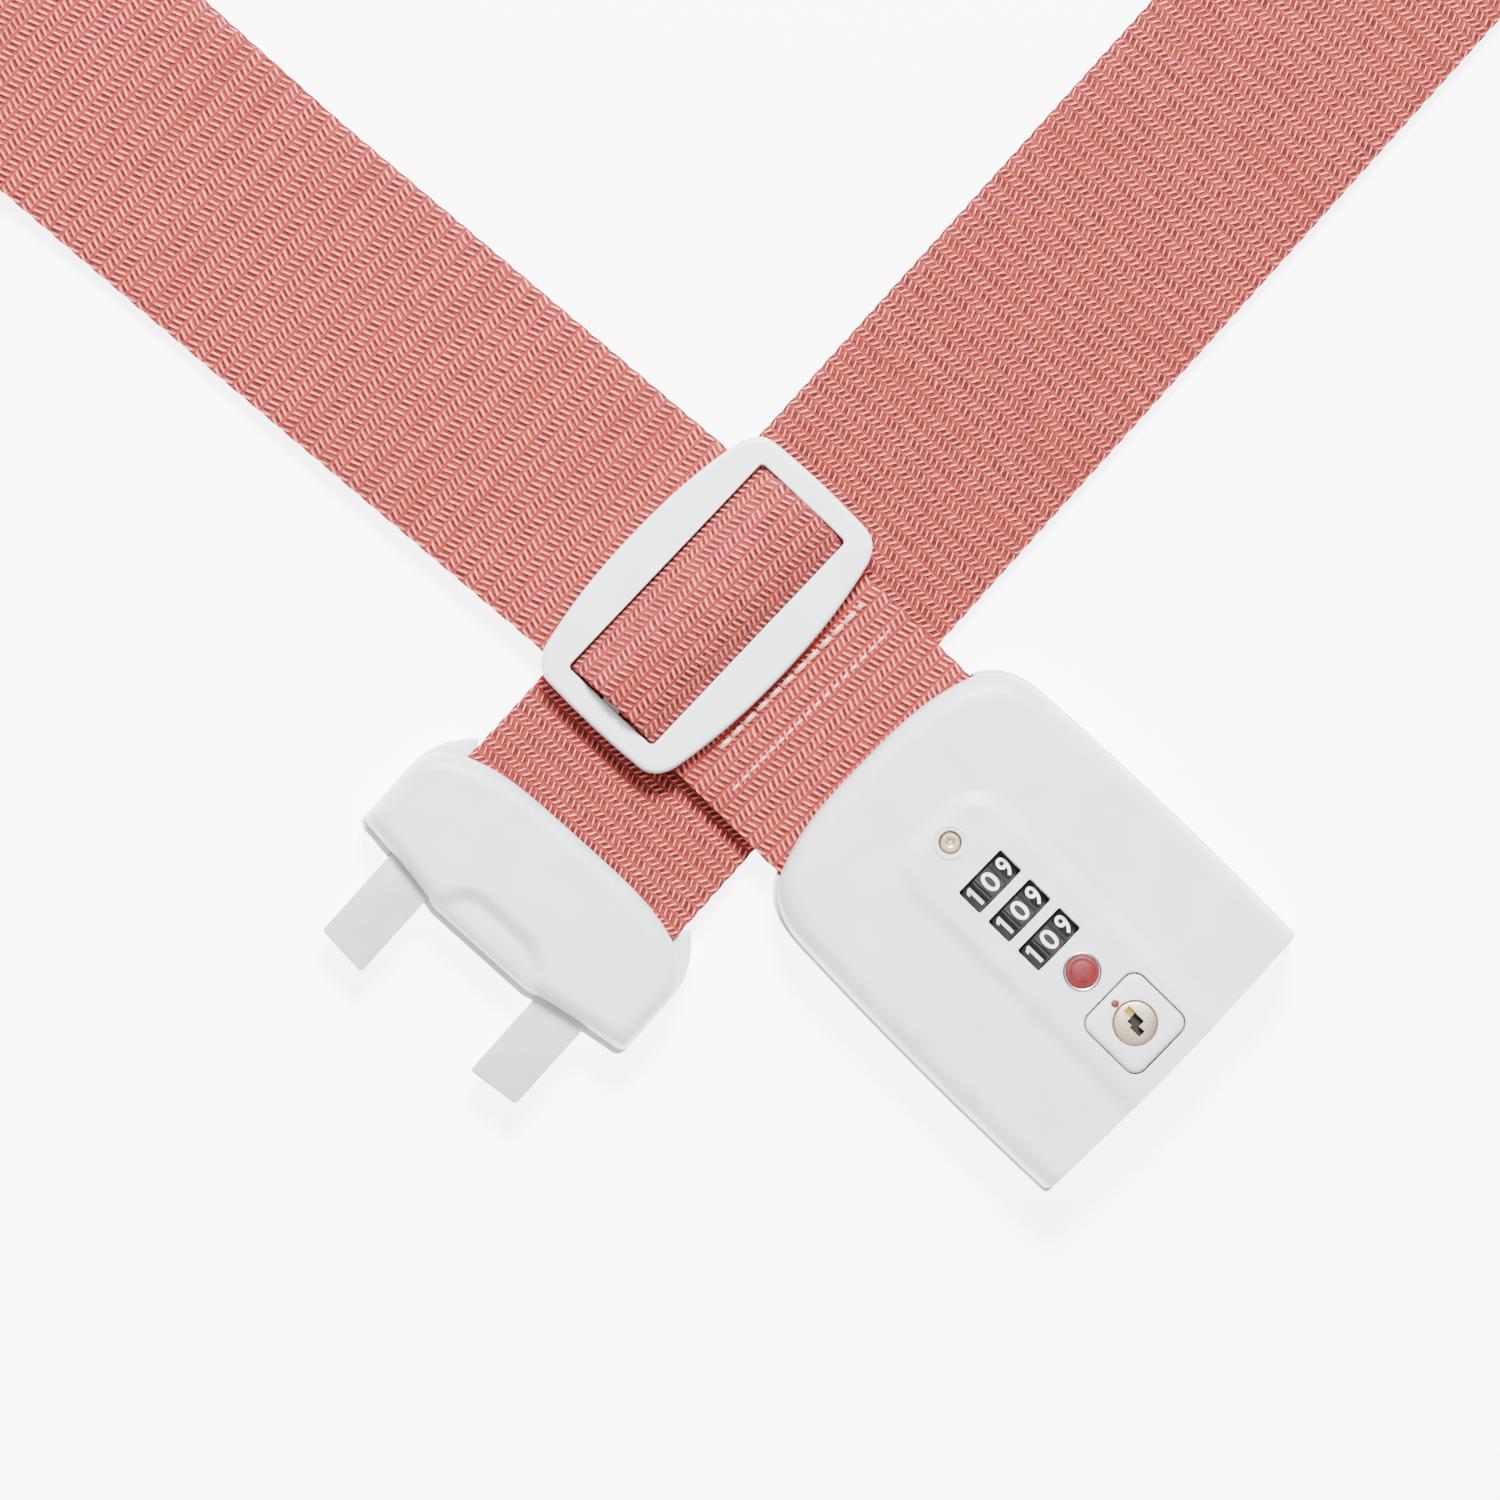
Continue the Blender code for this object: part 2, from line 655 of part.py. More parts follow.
def reset_pin(parent):
    axis = empty("reset_axis", (PIN_X, 0, PLATEAU_TOP), parent=parent)
    collar = LOCK_HEIGHT - LOCK_WALL - GAP - 0.4 * MM - PLATEAU_TOP
    stem = LOCK_SEAM - 1.0 * MM - PLATEAU_TOP
    profile = [
        (0, stem), (1.2 * MM, stem), (1.2 * MM, collar - 1.0 * MM), (2.7 * MM, collar - 1.0 * MM),
        (2.7 * MM, collar), (PIN_RADIUS, collar), (PIN_RADIUS, -0.1 * MM), (PIN_RADIUS - 0.3 * MM, 0.2 * MM),
        (0, 0.2 * MM),
    ]
    turned(profile, "reset_pin", steel(), axis, steps=24)
    coil("reset_spring", 2.0 * MM, 0.5 * MM, LOCK_SEAM + 0.2 * MM,
         PLATEAU_TOP + collar - 1.0 * MM - GAP, 3, parent, (PIN_X, 0, 0))


def release_mechanism(parent):
    """The square button, the key cylinder in it and the latch plate that it pushes down."""
    axis = empty("release_axis", (BUTTON_X, 0, PLATEAU_TOP), parent=parent)
    top = BUTTON_PROUD
    under = LOCK_SEAM + 2.6 * MM - PLATEAU_TOP
    square = rounded_rectangle(BUTTON_SIDE, BUTTON_SIDE, BUTTON_CORNER)
    bevelled = rounded_rectangle(BUTTON_SIDE - 0.8 * MM, BUTTON_SIDE - 0.8 * MM, BUTTON_CORNER - 0.4 * MM)
    button = loft(
        [at_height(square, under), at_height(square, top - 0.4 * MM), at_height(bevelled, top)],
        "release_button", housing_plastic(), axis, smooth=False,
    )
    for side in (-1, 1):
        low_y, high_y = sorted((side * (KEY_RADIUS + 1.0 * MM), side * (BUTTON_SIDE / 2 - 0.2 * MM)))
        leg = block(
            (-4 * MM, low_y, PLATE_TOP + GAP - PLATEAU_TOP), (4 * MM, high_y, under + 0.5 * MM),
            f"button_leg_tool_{'right' if side < 0 else 'left'}", parent=axis,
        )
        add(button, leg)
    cut(button, rod(KEY_RADIUS + GAP, under - 1 * MM, top + 1 * MM, "key_bore_tool", parent=axis, steps=28))
    key_low = top + 0.1 * MM - KEY_LENGTH
    cylinder = rod(KEY_RADIUS, key_low, top + 0.1 * MM, "key_cylinder",
                   material("nickel_silver", "D8CBB8", 0.3, 1.0), axis, steps=28)
    cut(cylinder, block((-2.7 * MM, -0.5 * MM, top - 4 * MM), (2.7 * MM, 0.5 * MM, top + 1 * MM),
                        "keyway_tool", parent=axis))
    cam = rod(3.0 * MM, key_low - GAP - CAM_THICK, key_low - GAP, "cylinder_cam", steel(), axis, steps=20)
    add(cam, block((0, -1.1 * MM, key_low - GAP - CAM_THICK), (3.8 * MM, 1.1 * MM, key_low - GAP),
                   "cam_tab_tool", parent=axis))
    half_reach = PRONG_SPACING / 2 + PRONG_WIDTH / 2 - 0.4 * MM
    plate = block(
        (BUTTON_X - LATCH_LENGTH / 2, -half_reach, PLATE_TOP - LATCH_THICK),
        (BUTTON_X + LATCH_LENGTH / 2, half_reach, PLATE_TOP),
        "latch_plate", steel(), parent,
    )
    for side in (-1, 1):
        middle = side * PRONG_SPACING / 2
        outline = [
            (LATCH_TOOTH_X - 1.2 * MM, PLATE_TOP - 0.4 * MM),
            (LATCH_TOOTH_X + 1.6 * MM, PLATE_TOP - 0.4 * MM),
            (LATCH_TOOTH_X + 1.2 * MM, PLATE_TOP + 0.6 * MM),
            (LATCH_TOOTH_X - 0.4 * MM, PLATE_TOP + LATCH_TOOTH),
            (LATCH_TOOTH_X - 1.2 * MM, PLATE_TOP + LATCH_TOOTH),
        ]
        rings = [[(x, middle + end * 3 * MM, z) for x, z in outline] for end in (-1, 1)]
        add(plate, loft(rings, f"latch_tooth_tool_{'right' if side < 0 else 'left'}", smooth=False))
        coil(
            f"latch_spring_{'right' if side < 0 else 'left'}", 2.2 * MM, 0.4 * MM,
            LOCK_FLOOR + GAP / 2, PLATE_TOP - LATCH_THICK - GAP / 2, 2, parent,
            (BUTTON_X, side * 10 * MM, 0),
        )


def lock(parent):
    lock_top_cover(parent)
    lock_bottom_cover(parent)
    rod(LOCK_BAR_RADIUS, -LOCK_BAR_HALF, LOCK_BAR_HALF, "lock_webbing_bar", steel(), parent,
        (REAR_X + LOCK_BAR_AT, 0, LOCK_BAR_HEIGHT), axis="Y", steps=16)
    dials(parent)
    locking_fence(parent)
    reset_pin(parent)
    release_mechanism(parent)
    turned(
        [(0, 0), (BADGE_RADIUS, 0), (BADGE_RADIUS, 0.4 * MM), (BADGE_RADIUS - 0.4 * MM, 0.7 * MM),
         (0, 0.7 * MM)],
        "badge", material("badge_enamel", "C8202C", 0.2), parent,
        (BADGE_X, 0, PLATEAU_TOP - 0.6 * MM + GAP), steps=32,
    )
    for index, place in enumerate(screw_places()):
        screw(f"lock_screw_{index + 1}", place, GAP, 10.5 * MM, parent)


# ---------------------------------------------------------------- male buckle


def male_front(y, lip):
    """The front edge is furthest out in the middle and falls back to the sides."""
    inner, outer = 11 * MM, 30 * MM
    share = min(max((abs(y) - inner) / (outer - inner), 0), 1)
    return MALE_DEPTH / 2 - 3.2 * MM * share ** 0.75 + lip


def male_outline(inset=0.0, lip=0.0, ears=False):
    """The buckle from above, its front towards +X. The lower shell has an ear at each rear corner."""
    half_width = MALE_WIDTH / 2 - inset
    rear = -MALE_DEPTH / 2 + inset
    shoulder = WEB_WIDTH / 2 + 0.6 * MM
    half = []
    if ears:
        half += [(rear + 0.6 * MM, 0), (rear + 0.8 * MM, shoulder * 0.5), (rear + 1.2 * MM, shoulder)]
        tip = rear - MALE_EAR
        half += [(tip + 1.0 * MM, shoulder + 0.3 * MM), (tip + 0.9 * MM, shoulder + 1.3 * MM)]
        half += bezier(
            (tip + 1.6 * MM, shoulder + 2.2 * MM), (-10.0 * MM, half_width - 0.6 * MM),
            (-3.5 * MM, half_width), 6,
        )
    else:
        shoulder -= inset * 0.8
        for i in range(6):
            y = shoulder * i / 6
            half.append((rear + 2.6 * MM * (y / shoulder) ** 4, y))
        half += bezier((rear + 2.6 * MM, shoulder), (rear + 5.3 * MM, half_width - 0.3 * MM),
                       (-3.0 * MM, half_width), 7)
    front_corner = MALE_WIDTH / 2 - 2.0 * MM - inset
    half += [(-3.0 * MM, half_width), (male_front(front_corner, lip) - 2.0 * MM - inset, half_width)]
    half.append((male_front(front_corner, lip) - 0.6 * MM - inset, half_width - 0.6 * MM))
    for i in range(9):
        y = front_corner * (1 - i / 8)
        half.append((male_front(y, lip) - inset, y))
    return mirrored(half)


def prong_clearance(name, parent):
    """Room for the prongs where they leave the shells."""
    tools = []
    low = PRONG_MIDDLE_Z - PRONG_THICK / 2 - GAP
    high = PRONG_MIDDLE_Z + PRONG_THICK / 2 + GAP
    for side in (-1, 1):
        middle = side * PRONG_SPACING / 2
        tools.append(block(
            (5 * MM, middle - PRONG_WIDTH / 2 - PRONG_PLAY, low),
            (20 * MM, middle + PRONG_WIDTH / 2 + PRONG_PLAY, high),
            f"{name}_{'right' if side < 0 else 'left'}", parent=parent,
        ))
    return tools


def male_webbing_slot(name, parent):
    half = WEB_WIDTH / 2 + 0.6 * MM
    return block(
        (-MALE_DEPTH / 2 - 5 * MM, -half, MALE_FLOOR), (-MALE_DEPTH / 2 + 7.0 * MM, half, MALE_SLOT_TOP),
        name, parent=parent,
    )


def male_top_shell(parent):
    low = MALE_SEAM + SEAM_HALF_GAP
    outer = [(low, 0.0), (MALE_HEIGHT - 3.0 * MM, 0.5 * MM)]
    outer += edge_arc(MALE_HEIGHT - 3.0 * MM, MALE_HEIGHT, 0.5 * MM, 3.2 * MM)[1:]
    rings = [at_height(male_outline(inset), z) for z, inset in outer]
    shell = loft(rings, "male_top_shell", housing_plastic(), parent)
    wall = [(low - 1 * MM, MALE_WALL), (MALE_CEILING, MALE_WALL + 1.0 * MM)]
    cut(shell, loft([at_height(male_outline(inset), z) for z, inset in wall], "male_top_cavity_tool"))
    bottom = MALE_HEIGHT - RECESS_DEPTH
    front = MALE_DEPTH / 2 + 3 * MM
    floor_outline = rounded_rectangle(13.5 * MM, 20 * MM, 4 * MM, centre=(front - 3.5 * MM, 0))
    mouth_outline = rounded_rectangle(18.5 * MM, 26 * MM, 6 * MM, centre=(front - 3.5 * MM, 0))
    cut(shell, loft(
        [at_height(floor_outline, bottom), at_height(mouth_outline, MALE_HEIGHT + 1 * MM)], "recess_tool"
    ))
    x, y = MALE_SCREW_PLACE
    for side in (-1, 1):
        place = (x, side * y)
        add(shell, prism(circle(BOSS_RADIUS - 0.4 * MM, 16, place), low, MALE_CEILING + 0.4 * MM,
                         f"male_top_boss_tool_{'right' if side < 0 else 'left'}"))
        cut(shell, prism(circle(SCREW_RADIUS + GAP, 12, place), low - 1 * MM, MALE_CEILING,
                         f"male_pilot_tool_{'right' if side < 0 else 'left'}"))
    cut(
        shell,
        male_webbing_slot("male_top_slot_tool", parent),
        *prong_clearance("male_top_prong_tool", parent),
    )
    return shell


def male_bottom_shell(parent):
    top = MALE_SEAM - SEAM_HALF_GAP
    outer = [(0, 1.4 * MM), (0.4 * MM, 0.7 * MM), (1.4 * MM, 0.0), (top, 0.0)]
    rings = [at_height(male_outline(inset, MALE_LIP, ears=True), z) for z, inset in outer]
    shell = loft(rings, "male_bottom_shell", housing_plastic(), parent)
    wall = [(MALE_FLOOR, MALE_WALL + 0.6 * MM), (top + 1 * MM, MALE_WALL)]
    cut(shell, loft([at_height(male_outline(inset), z) for z, inset in wall], "male_bottom_cavity_tool"))
    x, y = MALE_SCREW_PLACE
    for side in (-1, 1):
        place = (x, side * y)
        add(shell, prism(circle(BOSS_RADIUS - 0.4 * MM, 16, place), MALE_FLOOR - 0.5 * MM, top,
                         f"male_bottom_boss_tool_{'right' if side < 0 else 'left'}"))
        cut(
            shell,
            prism(circle(SCREW_RADIUS + GAP, 12, place), -1 * MM, top + 1 * MM,
                  f"male_hole_tool_{'right' if side < 0 else 'left'}"),
            prism(circle(SCREW_HEAD_RADIUS + GAP, 16, place), -1 * MM, SCREW_HEAD_THICK + 2 * GAP,
                  f"male_sink_tool_{'right' if side < 0 else 'left'}"),
        )
    cut(shell, male_webbing_slot("male_bottom_slot_tool", parent),
        *prong_clearance("male_bottom_prong_tool", parent))
    return shell


def prong_frame(parent):
    """Two flat prongs joined by a web, with a catch pocket under each."""
    low, high = PRONG_MIDDLE_Z - PRONG_THICK / 2, PRONG_MIDDLE_Z + PRONG_THICK / 2
    outer = PRONG_SPACING / 2 + PRONG_WIDTH / 2
    inner = PRONG_SPACING / 2 - PRONG_WIDTH / 2
    web_front = MALE_DEPTH / 2 - 5.0 * MM
    half = [
        (-1.5 * MM, 0), (-1.5 * MM, outer), (PRONG_REACH - 1.6 * MM, outer),
        (PRONG_REACH - 1.0 * MM, outer - 0.6 * MM), (PRONG_REACH, inner + 0.7 * MM),
        (PRONG_REACH - 0.6 * MM, inner), (web_front, inner), (web_front, 0),
    ]
    frame = prism(mirrored(half), low, high, "prong_frame", housing_plastic(), parent)
    tooth_from_mouth = LOCK_LENGTH / 2 - LATCH_TOOTH_X
    catch = MALE_DEPTH / 2 + MALE_LIP + tooth_from_mouth
    for side in (-1, 1):
        middle = side * PRONG_SPACING / 2
        cut(frame, block(
            (catch - 2.4 * MM, middle - 3.6 * MM, low - 1 * MM),
            (catch + 2.0 * MM, middle + 3.6 * MM, low + CATCH_DEPTH),
            f"catch_tool_{'right' if side < 0 else 'left'}", parent=parent,
        ))
    return frame


def male(parent):
    male_top_shell(parent)
    male_bottom_shell(parent)
    prong_frame(parent)
    rod(MALE_BAR_RADIUS, -MALE_BAR_HALF, MALE_BAR_HALF, "male_webbing_bar", steel(), parent,
        (-MALE_BAR_AT, 0, MALE_BAR_HEIGHT), axis="Y", steps=16)
    x, y = MALE_SCREW_PLACE
    for index, side in enumerate((-1, 1)):
        screw(f"male_screw_{index + 1}", (x, side * y), GAP, 8.0 * MM, parent)


# ---------------------------------------------------------------- adjuster


def slider_outline():
    """Long sides and ends both bow out, with rounded corners between them."""
    half = []
    bow = SLIDER_HALF_MIDDLE - SLIDER_HALF_END
    end_y = SLIDER_HALF_LENGTH - 5.0 * MM
    for i in range(8):
        y = end_y * i / 8
        half.append((-SLIDER_HALF_MIDDLE + bow * (y / end_y) ** 2, y))
    corner_x = SLIDER_HALF_END - 4.2 * MM
    half += bezier((-SLIDER_HALF_END, end_y), (-SLIDER_HALF_END + 1.0 * MM, SLIDER_HALF_LENGTH - 0.5 * MM),
                   (-corner_x, SLIDER_HALF_LENGTH - 0.5 * MM), 6)
    half.append((-corner_x, SLIDER_HALF_LENGTH - 0.5 * MM))
    half.append((0, SLIDER_HALF_LENGTH + 0.3 * MM))
    quarter_points = half
    right = [(-x, y) for x, y in reversed(quarter_points[:-1])]
    return mirrored(quarter_points + right)


def slider_frame(parent):
    outline = slider_outline()
    edge = 0.5 * MM

    def shrunk(amount):
        across, along = 1 - amount / SLIDER_HALF_MIDDLE, 1 - amount / SLIDER_HALF_LENGTH
        return [(x * across, y * along) for x, y in outline]

    frame = loft(
        [at_height(shrunk(edge), 0), at_height(outline, edge), at_height(outline, SLIDER_THICK - edge),
         at_height(shrunk(edge), SLIDER_THICK)],
        "slider_frame", slider_plastic(), parent, smooth=False,
    )
    window = rounded_rectangle(*SLIDER_WINDOW, 0.8 * MM, steps=3)
    cut(frame, prism(window, -1 * MM, SLIDER_THICK + 1 * MM, "slider_window_tool"))
    low = WEB_THICK + GAP
    add(frame, block(
        (-SLIDER_BAR_WIDTH / 2, -SLIDER_WINDOW[1] / 2 - 1 * MM, low),
        (SLIDER_BAR_WIDTH / 2, SLIDER_WINDOW[1] / 2 + 1 * MM, low + SLIDER_BAR_THICK - 0.3 * MM),
        "slider_bar_tool",
    ))
    return frame


def sewn_end(parent):
    """The strap's end, sewn into a closed loop round the adjuster's centre bar."""
    low = WEB_THICK + GAP
    middle = low + SLIDER_BAR_THICK / 2
    rings = []
    for offset in (GAP, GAP + WEB_THICK):
        outline = rounded_rectangle(
            SLIDER_BAR_WIDTH + 2 * offset, SLIDER_BAR_THICK + 2 * offset,
            SLIDER_BAR_THICK / 2 + offset - 0.1 * MM, steps=4,
        )
        rings.append([(x, z + middle) for x, z in outline])
    bm = bmesh.new()
    half = WEB_WIDTH / 2
    rows = [[bm.verts.new((x, y, z)) for x, z in ring]
            for ring, y in ((rings[0], -half), (rings[1], -half), (rings[1], half), (rings[0], half))]
    for i, row in enumerate(rows):
        after = rows[(i + 1) % 4]
        for k in range(len(row)):
            j = (k + 1) % len(row)
            bm.faces.new((row[k], row[j], after[j], after[k]))
    return finish(bm, "webbing_sewn_end", webbing(), parent)


def hump_height(x):
    """The webbing's middle height over the centre bar: flat on top and steep at the window's sides."""
    reach = SLIDER_WINDOW[0] / 2 - 0.4 * MM
    return WEB_THICK / 2 + 0.1 * MM + HUMP_RISE * (1 - abs(x / reach) ** 2.6)


def slider_hump(parent):
    reach = SLIDER_WINDOW[0] / 2 - 0.4 * MM
    line = [(x, hump_height(x)) for x in np.linspace(-reach, reach, 21)]
    upper, lower = [], []
    for i, (x, z) in enumerate(line):
        before, after = line[max(i - 1, 0)], line[min(i + 1, len(line) - 1)]
        dx, dz = after[0] - before[0], after[1] - before[1]
        length = math.hypot(dx, dz)
        nx, nz = -dz / length * WEB_THICK / 2, dx / length * WEB_THICK / 2
        limit = reach + 0.1 * MM
        upper.append((min(max(x + nx, -limit), limit), z + nz))
        lower.append((min(max(x - nx, -limit), limit), max(z - nz, 0.05 * MM)))
    profile = upper + lower[::-1]
    rings = [[(x, side * WEB_WIDTH / 2, z) for x, z in profile] for side in (-1, 1)]
    return loft(rings, "webbing_hump", webbing(), parent)


# ---------------------------------------------------------------- webbing


def direction(angle):
    return np.array((math.cos(angle), math.sin(angle)))


def upper_web_bottom(distance):
    """Height of the underside of the upper layer, `distance` behind the lock's middle."""
    foot = STACK
    return foot + WEB_SLOPE * max(RAMP_FOOT_AT - distance, 0.0)


class Route:
    """Where the doubled strap runs: past the male buckle, two diagonal folds, then to the lock."""

    def __init__(self):
        self.male_place = np.array(MALE_PLACE)
        self.out = direction(MALE_HEADING)
        self.out_side = np.array((-self.out[1], self.out[0]))
        self.fold_one = self.male_place + self.out * CROSS_RUN
        bend = BEND_END - BEND_START
        chord = 2 * math.sin(BEND_ANGLE / 2) / BEND_ANGLE * bend
        self.home = direction(math.pi + BEND_ANGLE)
        self.bend_far = np.array((-BEND_START, 0.0)) + direction(math.pi + BEND_ANGLE / 2) * chord
        ahead_side = np.array((-math.sin(BEND_ANGLE), math.cos(BEND_ANGLE)))
        self.fold_two = self.bend_far + self.home * UPPER_RUN + ahead_side * FOLD_SHIFT
        across = self.fold_two - self.fold_one
        self.cross_length = float(np.hypot(*across))
        heading = math.atan2(across[1], across[0])
        self.first = self.fold_frame(self.fold_one, MALE_HEADING, heading, 1)
        self.second = self.fold_frame(self.fold_two, heading, BEND_ANGLE, -1)
        self.axis_z = STACK + WEB_THICK + GAP / 2
        self.bend = bend
        self.fold_one_at = CROSS_RUN
        self.fold_two_at = CROSS_RUN + self.cross_length
        self.home_at = []
        for layer in (0, 1):
            at = np.array([self.fold_two_at + UPPER_RUN])
            centre = self.laid_out(at, np.zeros(1), layer, 0.0)[0][0] - self.bend_far
            self.home_at.append(float(at[0] + centre @ self.home))
        self.swing = float(centre @ ahead_side)

    @staticmethod
    def fold_frame(place, before, after, handed):
        """The fold line's place and normal, its slant to the strap, and the lower layer's side step."""
        turn = (after - before + math.pi) % (2 * math.pi) - math.pi
        line = before + turn / 2
        normal = direction(line + (-math.pi / 2 if turn > 0 else math.pi / 2))
        along = direction(before)
        side = handed * np.array((-along[1], along[0]))
        ahead = direction(after)
        next_side = handed * np.array((ahead[1], -ahead[0]))
        slant = -(side @ normal) / (along @ normal)
        side_step = -math.pi * STACK * handed * (normal @ next_side)
        return place, normal, slant, along @ normal, side_step

    @staticmethod
    def folded(points, heights, layer_z, frame, axis_z):
        """Wraps what lies past the fold line over a round edge and back, and says how far back it is."""
        place, normal = frame[:2]
        past = (points - place) @ normal
        radius = abs(axis_z - layer_z)
        arc = math.pi * radius
        angle = np.clip(past / radius, 0, math.pi)
        own_radius = axis_z - heights
        shift = np.where(past <= 0, 0.0, own_radius * np.sin(angle) - np.minimum(past, arc))
        shift = np.where(past > arc, shift - 2 * (past - arc), shift)
        moved = points + shift[:, None] * normal
        return moved, axis_z - own_radius * np.cos(angle), past - arc

    def laid_out(self, along, side, layer, offset):
        """Plan points, heights and which points are past the second fold, before the last bend."""
        layer_z = WEB_THICK / 2 + layer * STACK
        laid = side + (1 - layer) * self.side_drift(along)
        points = self.male_place + along[:, None] * self.out + laid[:, None] * self.out_side
        heights = np.full(len(along), layer_z + offset)
        rise = np.interp(along, (MALE_BEND_AT, MALE_BEND_AT + MALE_RISE_LENGTH), (MALE_RISE, 0.0))
        points, heights, back = self.folded(points, heights, layer_z, self.first, self.axis_z)
        drop = 2 * STACK
        start, length = FOLD_DROP_START, FOLD_DROP_LENGTH
        base = -drop * smooth_step((back - start) / length)
        later = along > self.fold_one_at + self.cross_length / 2
        layer_two = WEB_THICK / 2 + (1 - layer) * STACK
        second, folded_heights, back = self.folded(
            points, heights - drop, layer_two, self.second, self.axis_z
        )
        base_two = -drop * smooth_step((back - start) / length)
        points = np.where(later[:, None], second, points)
        heights = np.where(later, folded_heights + base_two, heights + base) + rise
        return points, heights, later

    def place(self, along, side, layer, offset):
        """World points at `along` the strap and `side` of its middle, for a layer and a height offset."""
        points, heights, later = self.laid_out(along, side, layer, offset)
        ahead = (self.bend_far - points) @ self.home
        behind = BEND_START + self.bend - ahead
        heights = heights + np.where(later, WEB_SLOPE * np.maximum(RAMP_FOOT_AT - behind, 0.0), 0.0)
        share = np.clip(ahead / self.bend, 0, None)
        turn = BEND_ANGLE * (1 - np.minimum(share, 1))
        radius = self.bend / BEND_ANGLE
        x = -BEND_START - radius * np.sin(turn) + np.maximum(share - 1, 0) * self.bend
        y = -radius * (1 - np.cos(turn))
        across = np.stack([-np.sin(turn), np.cos(turn)], axis=1)
        swung = side + self.swing * (1 - smooth_step(share))
        curved = np.stack([x, y], axis=1) + swung[:, None] * across
        points = np.where((later & (ahead > 0))[:, None], curved, points)
        return np.concatenate([points, heights[:, None]], axis=1)

    def reach(self, x, layer):
        """How far along the strap a layer reaches the point `x` behind the lock, past the second fold."""
        return self.home_at[layer] + BEND_START + self.bend - x

    def side_drift(self, along):
        """How far the lower layer is laid back under the upper one after each fold has offset it."""
        home = self.fold_two_at + UPPER_RUN
        first = smooth_step((along - self.fold_one_at - 100 * MM) / (120 * MM))
        second = smooth_step((along - home + 152 * MM) / (85 * MM))
        return first * self.first[4] + second * self.second[4]

    def stations(self, start, end, layer):
        """(along, slant) of each cross line of the mesh, close together where the strap folds."""
        lines = [(start, 0.0)]
        for at, frame in ((self.fold_one_at, self.first), (self.fold_two_at, self.second)):
            slant, across = frame[2], frame[3]
            for past in (-12.0, 0.0, 0.4, 0.8, 1.2, 1.6, 2.0, 2.51, 3.5, 4.5, 5.5, 6.5, 7.54, 30.0):
                lines.append((at + past * MM / across, slant))
        plain = [at for at in self.plain_places(layer) if start < at < end]
        lines += [(at, 0.0) for at in plain]
        lines.append((end, 0.0))
        return sorted(lines)

    def plain_places(self, layer):
        out = [MALE_BEND_AT + MALE_RISE_LENGTH * share for share in (0.5, 1.0)]
        out += [70 * MM, 200 * MM]
        out += list(self.fold_one_at + np.arange(90, 160, 12) * MM)
        out += [self.fold_two_at - 70 * MM]
        out += list(self.fold_two_at + np.arange(90, 160, 12) * MM)
        out += list(self.home_at[layer] + np.arange(-102, 50, 12) * MM)
        return out


def smooth_step(share):
    t = np.clip(share, 0, 1)
    return t * t * (3 - 2 * t)


def run_mesh(route, layer, start, end, name, parent):
    """One layer of the folded strap as a closed solid, from cross lines of top and bottom points."""
    across = np.linspace(-WEB_WIDTH / 2, WEB_WIDTH / 2, 3)
    bm = bmesh.new()
    rows = []
    for at, slant in route.stations(start, end, layer):
        side = np.concatenate([across, across[::-1]])
        offset = np.concatenate([np.full(3, WEB_THICK / 2), np.full(3, -WEB_THICK / 2)])
        along = at + slant * side
        rows.append([bm.verts.new(point) for point in route.place(along, side, layer, offset)])
    for low, high in zip(rows, rows[1:]):
        for i in range(6):
            j = (i + 1) % 6
            bm.faces.new((low[i], low[j], high[j], high[i]))
    bm.faces.new(rows[0])
    bm.faces.new(rows[-1])
    return finish(bm, name, webbing(), parent)


def loop_strip(line, name, parent, half=WEB_WIDTH / 2):
    """Webbing along a line of (x, z) points, thickened to both sides of it."""
    line = np.array(line)
    tangent = np.gradient(line, axis=0)
    tangent /= np.hypot(*tangent.T)[:, None]
    normal = np.stack([-tangent[:, 1], tangent[:, 0]], axis=1) * WEB_THICK / 2
    profile = np.concatenate([line + normal, (line - normal)[::-1]])
    rings = [[(x, side * half, z) for x, z in profile] for side in (-1, 1)]
    return loft(rings, name, webbing(), parent)


def half_turn(centre, radius, steps=9):
    """From above the centre, round its +X side, to below it."""
    turns = [math.pi / 2 - math.pi * i / (steps - 1) for i in range(steps)]
    return [(centre[0] + radius * math.cos(a), centre[1] + radius * math.sin(a)) for a in turns]


def lock_end_loop(parent):
    """From the bend behind the housing, over its bar and back under it."""
    bar = (REAR_X + LOCK_BAR_AT, LOCK_BAR_HEIGHT)
    radius = LOCK_BAR_RADIUS + GAP + WEB_THICK / 2
    start = -LOCK_BEND_AT + GAP
    middle = upper_web_bottom(LOCK_BEND_AT) + WEB_THICK / 2
    line = [(start, middle), (start + 4 * MM, middle + 0.25 * MM)]
    line += half_turn(bar, radius)
    line += [(start + 4 * MM, middle - STACK - 0.25 * MM), (start, middle - STACK)]
    return loop_strip(line, "webbing_lock_end", parent)


def male_end_loop(parent):
    """From the bend behind the male buckle, over its bar and back under it."""
    bar = (-MALE_BAR_AT, MALE_BAR_HEIGHT)
    radius = MALE_BAR_RADIUS + GAP + WEB_THICK / 2
    start = -MALE_BEND_AT + GAP
    low = WEB_THICK / 2 + MALE_RISE
    line = [(start, low + STACK), (start + 5 * MM, low + STACK + 0.5 * MM)]
    line += half_turn(bar, radius)
    line += [(start + 5 * MM, low + 0.2 * MM), (start, low)]
    return loop_strip(line, "webbing_male_end", parent)


